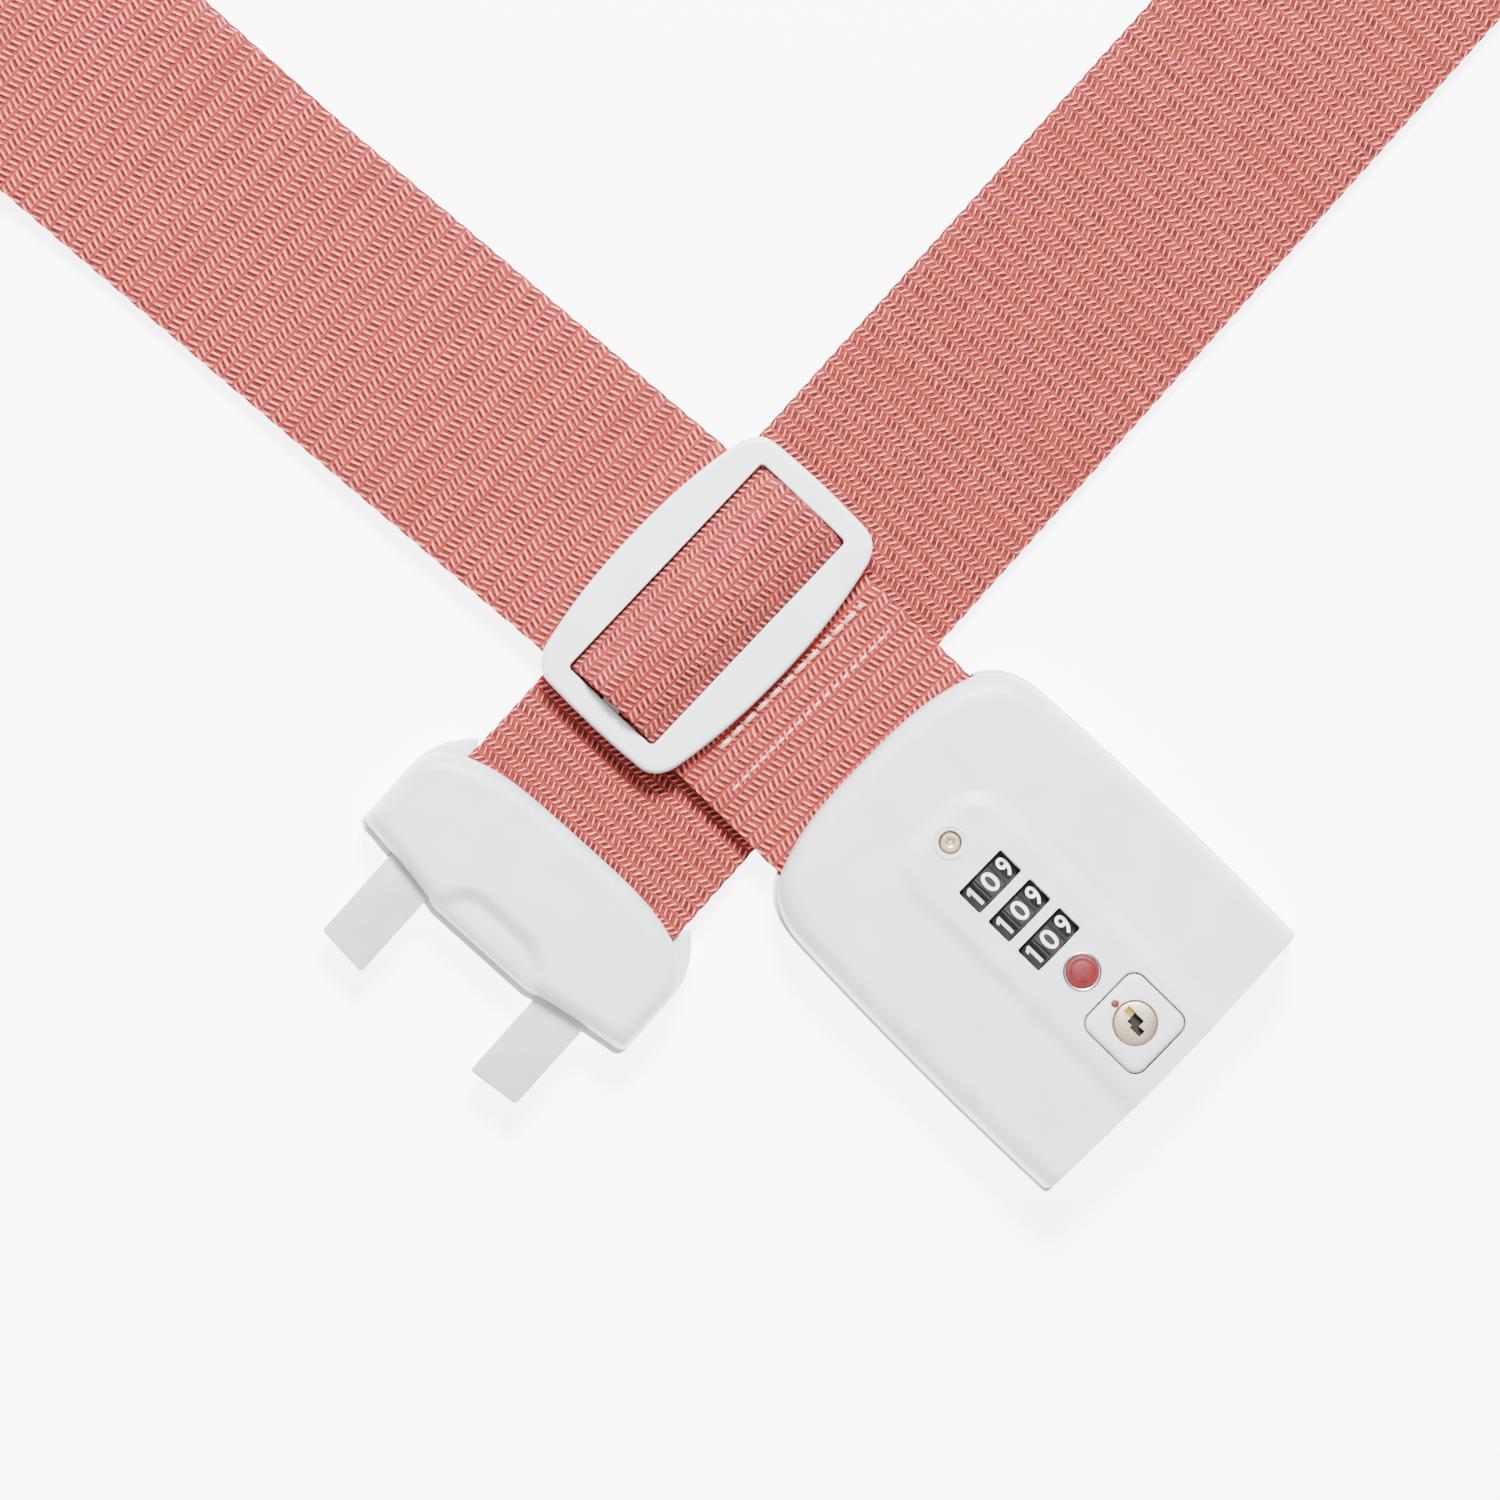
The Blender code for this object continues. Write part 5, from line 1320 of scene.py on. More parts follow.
@dataclass
class MaleBuckle:
    """The buckle with two prongs and a thumb recess."""

    finishes: Finishes
    sizes: MaleSizes = field(default_factory=MaleSizes)

    @property
    def matrix(self) -> Matrix:
        """The buckle's frame: +X towards the prongs.

        Returns:
            Its place in the CAD frame.
        """
        return Matrix.Translation((*self.sizes.place, 0)) @ Matrix.Rotation(self.sizes.turn, 4, "Z")

    def front(self, y: Array, lip: float) -> Array:
        """The front edge is furthest out in the middle and falls back to the sides.

        Args:
            y: positions across the buckle.
            lip: how far the lower half stands out.

        Returns:
            Positions of the edge.
        """
        share = np.clip((np.abs(y) - 11.5 * MM) / (18.5 * MM), 0, 1)
        return self.sizes.depth / 2 - 3.2 * MM * share**0.8 + lip

    def outline(self, inset: float, lip: float = 0.0, ears: bool = False) -> Array:
        """The buckle from above.

        Args:
            inset: how far inside the wall.
            lip: how far the front stands out.
            ears: whether the rear corners reach back on both sides of the webbing.

        Returns:
            (n, 2) points.
        """
        s = self.sizes
        half, rear = s.half_width - inset, -s.depth / 2 + inset
        if ears:
            tail = rear - 1.1 * MM
            y = np.linspace(0, s.shoulder, 14, endpoint=False)
            back = np.column_stack([rear + 0.6 * MM + 0.6 * MM * (y / s.shoulder) ** 2, y])
            tip = curve_through((rear + 1.2 * MM, s.shoulder), (tail, s.shoulder + 0.2 * MM),
                                (tail, s.shoulder + 1.0 * MM), 6)
            corner = curve_through(
                (tail, s.shoulder + 1.0 * MM), (-10.0 * MM, half - 0.4 * MM), (-3.5 * MM, half), 16)
            parts = [back, tip, corner]
        else:
            shoulder = s.shoulder - inset * 0.8
            y = np.linspace(0, shoulder, 18, endpoint=False)
            back = np.column_stack([rear + 2.6 * MM * (y / shoulder) ** 4, y])
            corner = curve_through(
                (rear + 2.6 * MM, shoulder), (rear + 5.3 * MM, half - 0.3 * MM), (-3.0 * MM, half), 18)
            parts = [back, corner]
        corner_y = s.half_width - 2.0 * MM - inset
        edge = float(self.front(np.array(corner_y), lip)) - inset
        x = np.linspace(-3.0 * MM, edge - 2.2 * MM, 10)
        parts.append(np.column_stack([x, np.full(10, half)]))
        parts.append(curve_through((edge - 2.2 * MM, half), (edge - 0.2 * MM, half), (edge, corner_y), 9)[1:])
        y = np.linspace(corner_y, 0, 36)
        parts.append(np.column_stack([self.front(y, lip) - inset, y]))
        return mirrored(np.concatenate(parts))

    def crown(self, place: Array) -> Array:
        """The thumb recess, which runs out at the front.

        It is as deep as the smooth step of how far a point is inside a rounded box that
        starts behind the front edge.

        Args:
            place: (n, 2) points.

        Returns:
            Heights against the flat of the top.
        """
        over_x = np.maximum(13.0 * MM - place[:, 0], 0)
        over_y = np.maximum(np.abs(place[:, 1]) - 4.6 * MM, 0)
        outside = np.hypot(over_x, over_y * 0.98) - 6.3 * MM
        return -self.sizes.recess_depth * smooth_step(0.5 - outside / (3.4 * MM))

    def prongs(self) -> bpy.types.Object:
        """Two flat prongs with slanted tips and rounded edges.

        Returns:
            The new object.
        """
        s = self.sizes
        outer, inner = (s.prong_spacing + s.prong_width) / 2, (s.prong_spacing - s.prong_width) / 2
        web = s.depth / 2 - 5 * MM
        half = [(-1.5 * MM, 0), (-1.5 * MM, outer)]
        half += curve_through((s.prong_reach - 1.8 * MM, outer), (s.prong_reach - 0.9 * MM, outer),
                              (s.prong_reach - 0.8 * MM, outer - 0.9 * MM), 6).tolist()
        half += curve_through((s.prong_reach, inner + 0.8 * MM), (s.prong_reach + 0.05 * MM, inner),
                              (s.prong_reach - 0.8 * MM, inner), 6).tolist()
        half += [(s.prong_reach - 0.8 * MM, inner), (web, inner), (web, 0)]
        outline = mirrored(np.array(half))
        low, high = s.prong_middle - s.prong_thick / 2, s.prong_middle + s.prong_thick / 2
        made = loft("prongs", [lifted(outline, z) for z in (low, high)])
        bevel = made.modifiers.new("edges", "BEVEL")
        bevel.width, bevel.segments = 0.35 * MM, 3
        bevel.limit_method, bevel.angle_limit = "ANGLE", math.radians(50)
        tools = []
        catch = s.depth / 2 + s.lip + 9.3 * MM
        for side in (-1, 1):
            middle = np.array((catch - 0.2 * MM, side * s.prong_spacing / 2))
            pocket = rounded_box(4.4 * MM, 7.2 * MM, 0.4 * MM) + middle
            tools.append(loft("tool", [lifted(pocket, z) for z in (low - 1 * MM, low + 1.3 * MM)]))
        return shape(made, tools)

    def openings(self) -> list[bpy.types.Object]:
        """Tools for the webbing's slot and the prongs' way out.

        Returns:
            Three blocks.
        """
        s = self.sizes
        slot = rounded_box(12 * MM, 51.2 * MM, 0.5 * MM) + np.array((-s.depth / 2 + 1 * MM, 0))
        tools = [loft("tool", [lifted(slot, z) for z in (1.5 * MM, 8.4 * MM)])]
        for side in (-1, 1):
            middle = np.array((12.5 * MM, side * s.prong_spacing / 2))
            way = rounded_box(15 * MM, s.prong_width + 0.5 * MM, 0.2 * MM) + middle
            low = s.prong_middle - s.prong_thick / 2 - 0.2 * MM
            tools.append(loft("tool", [lifted(way, z) for z in (low, low + s.prong_thick + 0.4 * MM)]))
        return tools

    def build(self) -> None:
        """Builds the buckle."""
        s = self.sizes
        top = Shell(
            "male_top", self.outline, s.seam + 0.15 * MM, s.height, s.wall, 3.2 * MM, 3.4 * MM,
            self.crown, rings_in=60, sunk=s.recess_depth).build()
        shape(top, self.openings())
        settle(top, self.matrix)
        dress(top, self.finishes.housing, Body.MALE, ["male_top_shell"])
        rim = s.seam - 0.15 * MM
        steps = [
            (0.0, 1.5), (0.3, 0.8), (0.9, 0.3), (1.8, 0.0),
            (rim / MM - 0.4, 0.0), (rim / MM - 0.1, 0.1), (rim / MM, 0.4),
        ]
        rings = [lifted(self.outline(w * MM, s.lip, True), z * MM) for z, w in steps]
        tray = loft("male_bottom", rings)
        inside = ((1.5, 2.3), (rim / MM + 1.0, 1.7))
        hollow = loft("tool", [lifted(self.outline(w * MM), z * MM) for z, w in inside])
        heads = [disc(2.45 * MM) + np.array((4.5, side * 28.0)) * MM for side in (-1, 1)]
        holes = [tool(head, -1 * MM, 1.4 * MM) for head in heads]
        shape(tray, [hollow] + self.openings() + holes)
        settle(tray, self.matrix)
        dress(tray, self.finishes.housing, Body.MALE, ["male_bottom_shell"])
        prongs = settle(self.prongs(), self.matrix)
        # The prongs' darker finish is painted shade
        dress(prongs, self.finishes.frame, Body.MALE, ["prong_frame"])
        refinish(self.finishes.steel, "male_webbing_bar", "male_screw_1", "male_screw_2")


@dataclass(frozen=True)
class SliderSizes:
    """Sizes of the sliding adjuster."""

    at: float = 81.1 * MM
    shift: float = 0.6 * MM
    turn: float = math.radians(0.9)
    half_middle: float = 19.1 * MM
    half_end: float = 16.5 * MM
    half_length: float = 31.0 * MM
    thick: float = 3.0 * MM
    window_x: float = 21.4 * MM
    window_y: float = 52.4 * MM
    bar_width: float = 4.0 * MM
    hump_rise: float = 5.0 * MM


@dataclass
class Adjuster:
    """The flat frame that slides on the webbing."""

    finishes: Finishes
    strap: "StrapSizes"
    sizes: SliderSizes = field(default_factory=SliderSizes)

    @property
    def matrix(self) -> Matrix:
        """The adjuster's frame, on the webbing and along its slope.

        Returns:
            Its place in the CAD frame.
        """
        s = self.sizes
        height = self.strap.upper_bottom(s.at) + self.strap.thick + 0.3 * MM
        tilt = Matrix.Rotation(-math.atan(self.strap.slope), 4, "Y")
        return Matrix.Translation((-s.at, s.shift, height)) @ Matrix.Rotation(s.turn, 4, "Z") @ tilt

    def outline(self) -> Array:
        """Long sides and ends bow out, with rounded corners between them.

        Returns:
            (n, 2) points.
        """
        s = self.sizes
        end_y = s.half_length - 5.0 * MM
        y = np.linspace(0, end_y, 20, endpoint=False)
        side = np.column_stack([-s.half_middle + (s.half_middle - s.half_end) * (y / end_y) ** 2.2, y])
        stop = (-s.half_end + 5.0 * MM, s.half_length - 0.4 * MM)
        turn = (-s.half_end + 1.3 * MM, s.half_length - 0.7 * MM)
        corner = curve_through((-s.half_end, end_y), turn, stop, 16)
        x = np.linspace(stop[0], 0, 12)
        end = np.column_stack([x, s.half_length - 0.4 * MM * (x / stop[0]) ** 2])
        quarter = np.concatenate([side, corner, end])
        other = quarter[:-1][::-1] * np.array((-1.0, 1.0))
        return mirrored(np.concatenate([quarter, other]))

    def build(self) -> None:
        """Builds the frame with its window and centre bar."""
        s = self.sizes
        line = self.outline()
        reach = np.array((s.half_middle, s.half_length))
        edges = [
            (0.0, 0.5), (0.1, 0.2), (0.35, 0.0), (2.35, 0.05),
            (2.65, 0.18), (2.87, 0.42), (2.97, 0.75), (3.0, 1.2),
        ]
        rings = [lifted(line * (1 - inset * MM / reach), height * MM) for height, inset in edges]
        body = loft("adjuster_frame", rings)
        window = rounded_box(s.window_x, s.window_y, 0.9 * MM)
        shape(body, [tool(window, -1 * MM, s.thick, 0.22 * MM)])
        across = rounded_box(s.bar_width, s.window_y + 2 * MM, 0.3 * MM)
        bar = loft("tool", [lifted(across, z * MM) for z in (0.6, 1.7)])
        shape(body, [bar], Operation.JOIN)
        settle(body, self.matrix)
        dress(body, self.finishes.slider, Body.SLIDER, ["slider_frame"])


# ---------------------------------------------------------------- webbing


@dataclass(frozen=True)
class StrapSizes:
    """Sizes of the webbing and of the way that it lies."""

    width: float = 50.0 * MM
    thick: float = 1.3 * MM
    stack: float = 1.6 * MM
    gap: float = 0.3 * MM
    slope: float = 0.0336
    ramp_foot: float = 190.0 * MM
    bend_start: float = 62.0 * MM
    bend_end: float = 100.0 * MM
    bend_angle: float = math.radians(4.0)
    male_heading: float = math.radians(92.4)
    cross_run: float = 310.2 * MM
    upper_run: float = 255.9 * MM
    fold_shift: float = 1.6 * MM
    drop_start: float = 76.0 * MM
    drop_length: float = 60.0 * MM
    male_bend: float = 23.5 * MM
    male_rise: float = 2.0 * MM
    male_rise_length: float = 11.0 * MM
    row_pitch: float = 2.35 * MM
    tight_pitch: float = 1.83 * MM
    stitch_pitch: float = 1.25 * MM

    def upper_bottom(self, behind: float) -> float:
        """Height of the underside of the upper layer near the lock.

        Args:
            behind: distance behind the lock's middle.

        Returns:
            One stack plus the slope times what is left before the foot of the ramp.
        """
        return self.stack + self.slope * max(self.ramp_foot - behind, 0.0)


def heading(angle: float) -> Array:
    """Unit vector at an angle from +X.

    Args:
        angle: in radians.

    Returns:
        (2,) vector.
    """
    return np.array((math.cos(angle), math.sin(angle)))


@dataclass(frozen=True)
class FoldLine:
    """A line about which both layers turn over."""

    place: Array
    normal: Array
    side_step: float

    @classmethod
    def between(cls, place: Array, before: float, after: float, handed: int, stack: float) -> "FoldLine":
        """The line half-way between two headings.

        Args:
            place: a point on it.
            before: heading of the webbing that arrives.
            after: heading of the webbing that leaves.
            handed: 1 where the sheet's side is to the left, -1 after a fold.
            stack: height from layer to layer.

        Returns:
            The fold line. Its side step is the sideways shift of the outer layer: pi times
            the stack times the part of the normal that points across the leaving run.
        """
        turn = (after - before + math.pi) % (2 * math.pi) - math.pi
        normal = heading(before + turn / 2 + (-math.pi / 2 if turn > 0 else math.pi / 2))
        ahead = heading(after)
        beside = handed * np.array((ahead[1], -ahead[0]))
        return cls(place, normal, float(-math.pi * stack * handed * (normal @ beside)))


@dataclass
class Route:
    """The way that both layers take from the pronged buckle, over two folds, to the lock."""

    sizes: StrapSizes
    male: MaleSizes

    def __post_init__(self) -> None:
        """Places the folds and the bend at the lock."""
        s = self.sizes
        self.start = np.array(self.male.place)
        self.out = heading(s.male_heading)
        self.beside = np.array((-self.out[1], self.out[0]))
        fold_one = self.start + self.out * s.cross_run
        self.bend = s.bend_end - s.bend_start
        chord = 2 * math.sin(s.bend_angle / 2) / s.bend_angle * self.bend
        self.home = heading(math.pi + s.bend_angle)
        self.bend_far = np.array((-s.bend_start, 0.0)) + heading(math.pi + s.bend_angle / 2) * chord
        ahead_side = np.array((-math.sin(s.bend_angle), math.cos(s.bend_angle)))
        fold_two = self.bend_far + self.home * s.upper_run + ahead_side * s.fold_shift
        across = fold_two - fold_one
        self.cross_length = float(np.hypot(*across))
        self.crossing = math.atan2(across[1], across[0])
        self.first = FoldLine.between(fold_one, s.male_heading, self.crossing, 1, s.stack)
        self.second = FoldLine.between(fold_two, self.crossing, s.bend_angle, -1, s.stack)
        self.axis_z = s.stack + s.thick + s.gap / 2
        self.two_at = s.cross_run + self.cross_length
        self.home_at = []
        at = np.array([self.two_at + s.upper_run])
        for layer in (0, 1):
            centre = self.flat(at, np.zeros(1), layer, 0.0)[0][0] - self.bend_far
            self.home_at.append(float(at[0] + centre @ self.home))
        self.swing = float(centre @ ahead_side)

    def drift(self, along: Array) -> Array:
        """Sideways shift of the lower layer, which eases from fold to fold.

        Args:
            along: distances along the strap.

        Returns:
            Shifts.
        """
        one = smooth_step((along - self.sizes.cross_run - 100 * MM) / (120 * MM))
        two = smooth_step((along - self.two_at - self.sizes.upper_run + 152 * MM) / (85 * MM))
        return one * self.first.side_step + two * self.second.side_step

    def folded(
        self, points: Array, heights: Array, level: float, fold: FoldLine
    ) -> tuple[Array, Array, Array]:
        """Turns what lies past a fold line over, round a half circle.

        Over the arc the point moves to radius times the sine along the normal and to the
        axis less radius times the cosine in height. Past it the point comes back.

        Args:
            points: (n, 2) points.
            heights: their heights.
            level: height of the layer's middle.
            fold: the line.

        Returns:
            Points, heights and the distance past the arc.
        """
        past = (points - fold.place) @ fold.normal
        radius = abs(self.axis_z - level)
        arc = math.pi * radius
        angle = np.clip(past / radius, 0, math.pi)
        own = self.axis_z - heights
        shift = np.where(past <= 0, 0.0, own * np.sin(angle) - np.minimum(past, arc))
        shift = np.where(past > arc, shift - 2 * (past - arc), shift)
        return points + shift[:, None] * fold.normal, self.axis_z - own * np.cos(angle), past - arc

    def flat(self, along: Array, side: Array, layer: int, offset: Array) -> tuple[Array, Array, Array]:
        """Lays points along the folded strap.

        Args:
            along: distances from the pronged buckle.
            side: distances from the webbing's middle.
            layer: 0 for the lower one at the buckle, 1 for the upper one.
            offset: height from the layer's middle.

        Returns:
            Points, heights and whether each is nearer the second fold.
        """
        s = self.sizes
        level = s.thick / 2 + layer * s.stack
        across = side + (1 - layer) * self.drift(along)
        points = self.start + along[:, None] * self.out + across[:, None] * self.beside
        heights = np.full(len(along), level) + offset
        rise = np.interp(along, (s.male_bend, s.male_bend + s.male_rise_length), (s.male_rise, 0.0))
        points, heights, back = self.folded(points, heights, level, self.first)
        drop = 2 * s.stack
        base = -drop * smooth_step((back - s.drop_start) / s.drop_length)
        later = along > s.cross_run + self.cross_length / 2
        other = s.thick / 2 + (1 - layer) * s.stack
        second, turned_heights, back = self.folded(points, heights - drop, other, self.second)
        base_two = -drop * smooth_step((back - s.drop_start) / s.drop_length)
        points = np.where(later[:, None], second, points)
        return points, np.where(later, turned_heights + base_two, heights + base) + rise, later

    def place(self, along: Array, side: Array, layer: int, offset: Array) -> Array:
        """Points on the strap, with its bend and its ramp at the lock.

        Args:
            along: distances from the pronged buckle.
            side: distances from the webbing's middle.
            layer: 0 for the lower one at the buckle, 1 for the upper one.
            offset: height from the layer's middle.

        Returns:
            (n, 3) points.
        """
        s = self.sizes
        points, heights, later = self.flat(along, side, layer, offset)
        ahead = (self.bend_far - points) @ self.home
        behind = s.bend_start + self.bend - ahead
        heights = heights + np.where(later, s.slope * np.maximum(s.ramp_foot - behind, 0.0), 0.0)
        share = np.clip(ahead / self.bend, 0, None)
        turn = s.bend_angle * (1 - np.minimum(share, 1))
        radius = self.bend / s.bend_angle
        x = -s.bend_start - radius * np.sin(turn) + np.maximum(share - 1, 0) * self.bend
        y = -radius * (1 - np.cos(turn))
        across = np.stack([-np.sin(turn), np.cos(turn)], axis=1)
        swung = side + self.swing * (1 - smooth_step(share))
        curved = np.stack([x, y], axis=1) + swung[:, None] * across
        points = np.where((later & (ahead > 0))[:, None], curved, points)
        return np.column_stack([points, heights])

    def reach(self, behind: float, layer: int) -> float:
        """Where along the strap a layer is so far behind the lock.

        Args:
            behind: distance behind the lock's middle.
            layer: 0 or 1.

        Returns:
            Distance along the strap.
        """
        return self.home_at[layer] + self.sizes.bend_start + self.bend - behind


@dataclass(frozen=True)
class Weave:
    """How finely a piece of webbing is made."""

    stations: int = 4
    columns: int = 22
    rib: float = 0.12 * MM
    scallop: float = 0.22 * MM
    selvedge: float = 0.35 * MM


@dataclass
class WebbingPiece:
    """A length of ribbed webbing whose surface follows any centre line.

    Its rows bulge: half of the thickness grows by the rib times the arch of the row, and
    the selvedge reaches out by the scallop times the arch of the row.
    """

    name: str
    line: Callable[[Array, Array, Array], Array]
    start: float
    stop: float
    sizes: StrapSizes
    pitch: Callable[[Array], Array]
    weave: Weave = field(default_factory=Weave)
    first_row: float = 0.0

    def columns(self) -> Array:
        """Places across the webbing, from -1 to 1, closer together near the selvedges.

        Returns:
            The sine of evenly spaced angles, mixed with even spacing.
        """
        even = np.linspace(-1, 1, self.weave.columns)
        return 0.55 * even + 0.45 * np.sin(even * math.pi / 2)

    def rows(self) -> tuple[Array, Array]:
        """Stations along the webbing and the row that each one is in.

        Returns:
            Distances, and row numbers: the sum of each step over the pitch there.
        """
        fine = np.linspace(self.start, self.stop, 4000)
        middle = (fine[1:] + fine[:-1]) / 2
        row = np.concatenate([[0.0], np.cumsum(np.diff(fine) / self.pitch(middle))])
        count = max(int(math.ceil(row[-1] * self.weave.stations)), 6)
        wanted = np.linspace(0, row[-1], count + 1)
        return np.interp(wanted, row, fine), wanted + self.first_row

    def tightness(self, along: Array) -> Array:
        """How tightly the webbing is pulled: 1 where its rows are closest together.

        Args:
            along: distances along the piece.

        Returns:
            Values from 0 to 1.
        """
        sizes = self.sizes
        return (sizes.row_pitch - self.pitch(along)) / (sizes.row_pitch - sizes.tight_pitch)

    def build(self) -> bpy.types.Object:
        """Makes the piece as a closed tube of flat section.

        Returns:
            The new object, with its "weave" attribute.
        """
        along, row = self.rows()
        share = self.columns()
        arch = np.abs(np.sin(math.pi * row))
        scallops = self.weave.scallop * np.abs(np.sin(math.pi * row / 2))[:, None]
        half = self.sizes.width / 2 + self.weave.selvedge + scallops
        thin = self.sizes.thick / 2 - 0.08 * MM + self.weave.rib * (arch[:, None] - 0.5)
        edge = np.sqrt(np.clip(1 - np.abs(share[None, :]) ** 14, 0, 1))
        side = share[None, :] * half
        above = thin * (0.28 + 0.72 * edge)
        sides = np.concatenate([side, side[:, ::-1]], axis=1)
        offsets = np.concatenate([above, -above[:, ::-1]], axis=1)
        taper = np.ones(len(along))
        taper[[0, -1]] = 0.35
        offsets = offsets * taper[:, None]
        count = sides.shape[1]
        points = self.line(np.repeat(along, count), sides.ravel(), offsets.ravel())
        faces = grid_faces(len(along), count)
        last = (len(along) - 1) * count
        faces.append(list(range(count)))
        faces.append(list(range(last, last + count)))
        made = make_object(self.name, points, faces, sharp=75.0)
        data = np.zeros((len(points), 3))
        data[:, 0] = np.repeat(row, count)
        data[:, 1] = sides.ravel() / self.sizes.stitch_pitch
        data[:, 2] = np.repeat(self.tightness(along), count)
        held = made.data.attributes.new("weave", "FLOAT_VECTOR", "POINT")
        held.data.foreach_set("vector", data.ravel())
        return made


def path_line(path: Array, place: Callable[[Array], Array]) -> Callable[[Array, Array, Array], Array]:
    """A centre line that bends in one upright plane.

    Args:
        path: (n, 2) points of (x, z), in order.
        place: moves (n, 3) points from the path's frame to the CAD frame.

    Returns:
        A function of distance along the path, side and offset. The offset points to the
        left of the way that the path goes.
    """
    steps = np.hypot(*np.diff(path, axis=0).T)
    at = np.concatenate([[0.0], np.cumsum(steps)])

    def line(along: Array, side: Array, offset: Array) -> Array:
        x, z = np.interp(along, at, path[:, 0]), np.interp(along, at, path[:, 1])
        reach = 0.4 * MM
        dx = np.interp(along + reach, at, path[:, 0]) - np.interp(along - reach, at, path[:, 0])
        dz = np.interp(along + reach, at, path[:, 1]) - np.interp(along - reach, at, path[:, 1])
        size = np.hypot(dx, dz)
        return place(np.column_stack([x - offset * dz / size, side, z + offset * dx / size]))

    return line


def path_length(path: Array) -> float:
    """Length of a path.

    Args:
        path: (n, 2) points.

    Returns:
        The sum of its steps.
    """
    return float(np.hypot(*np.diff(path, axis=0).T).sum())


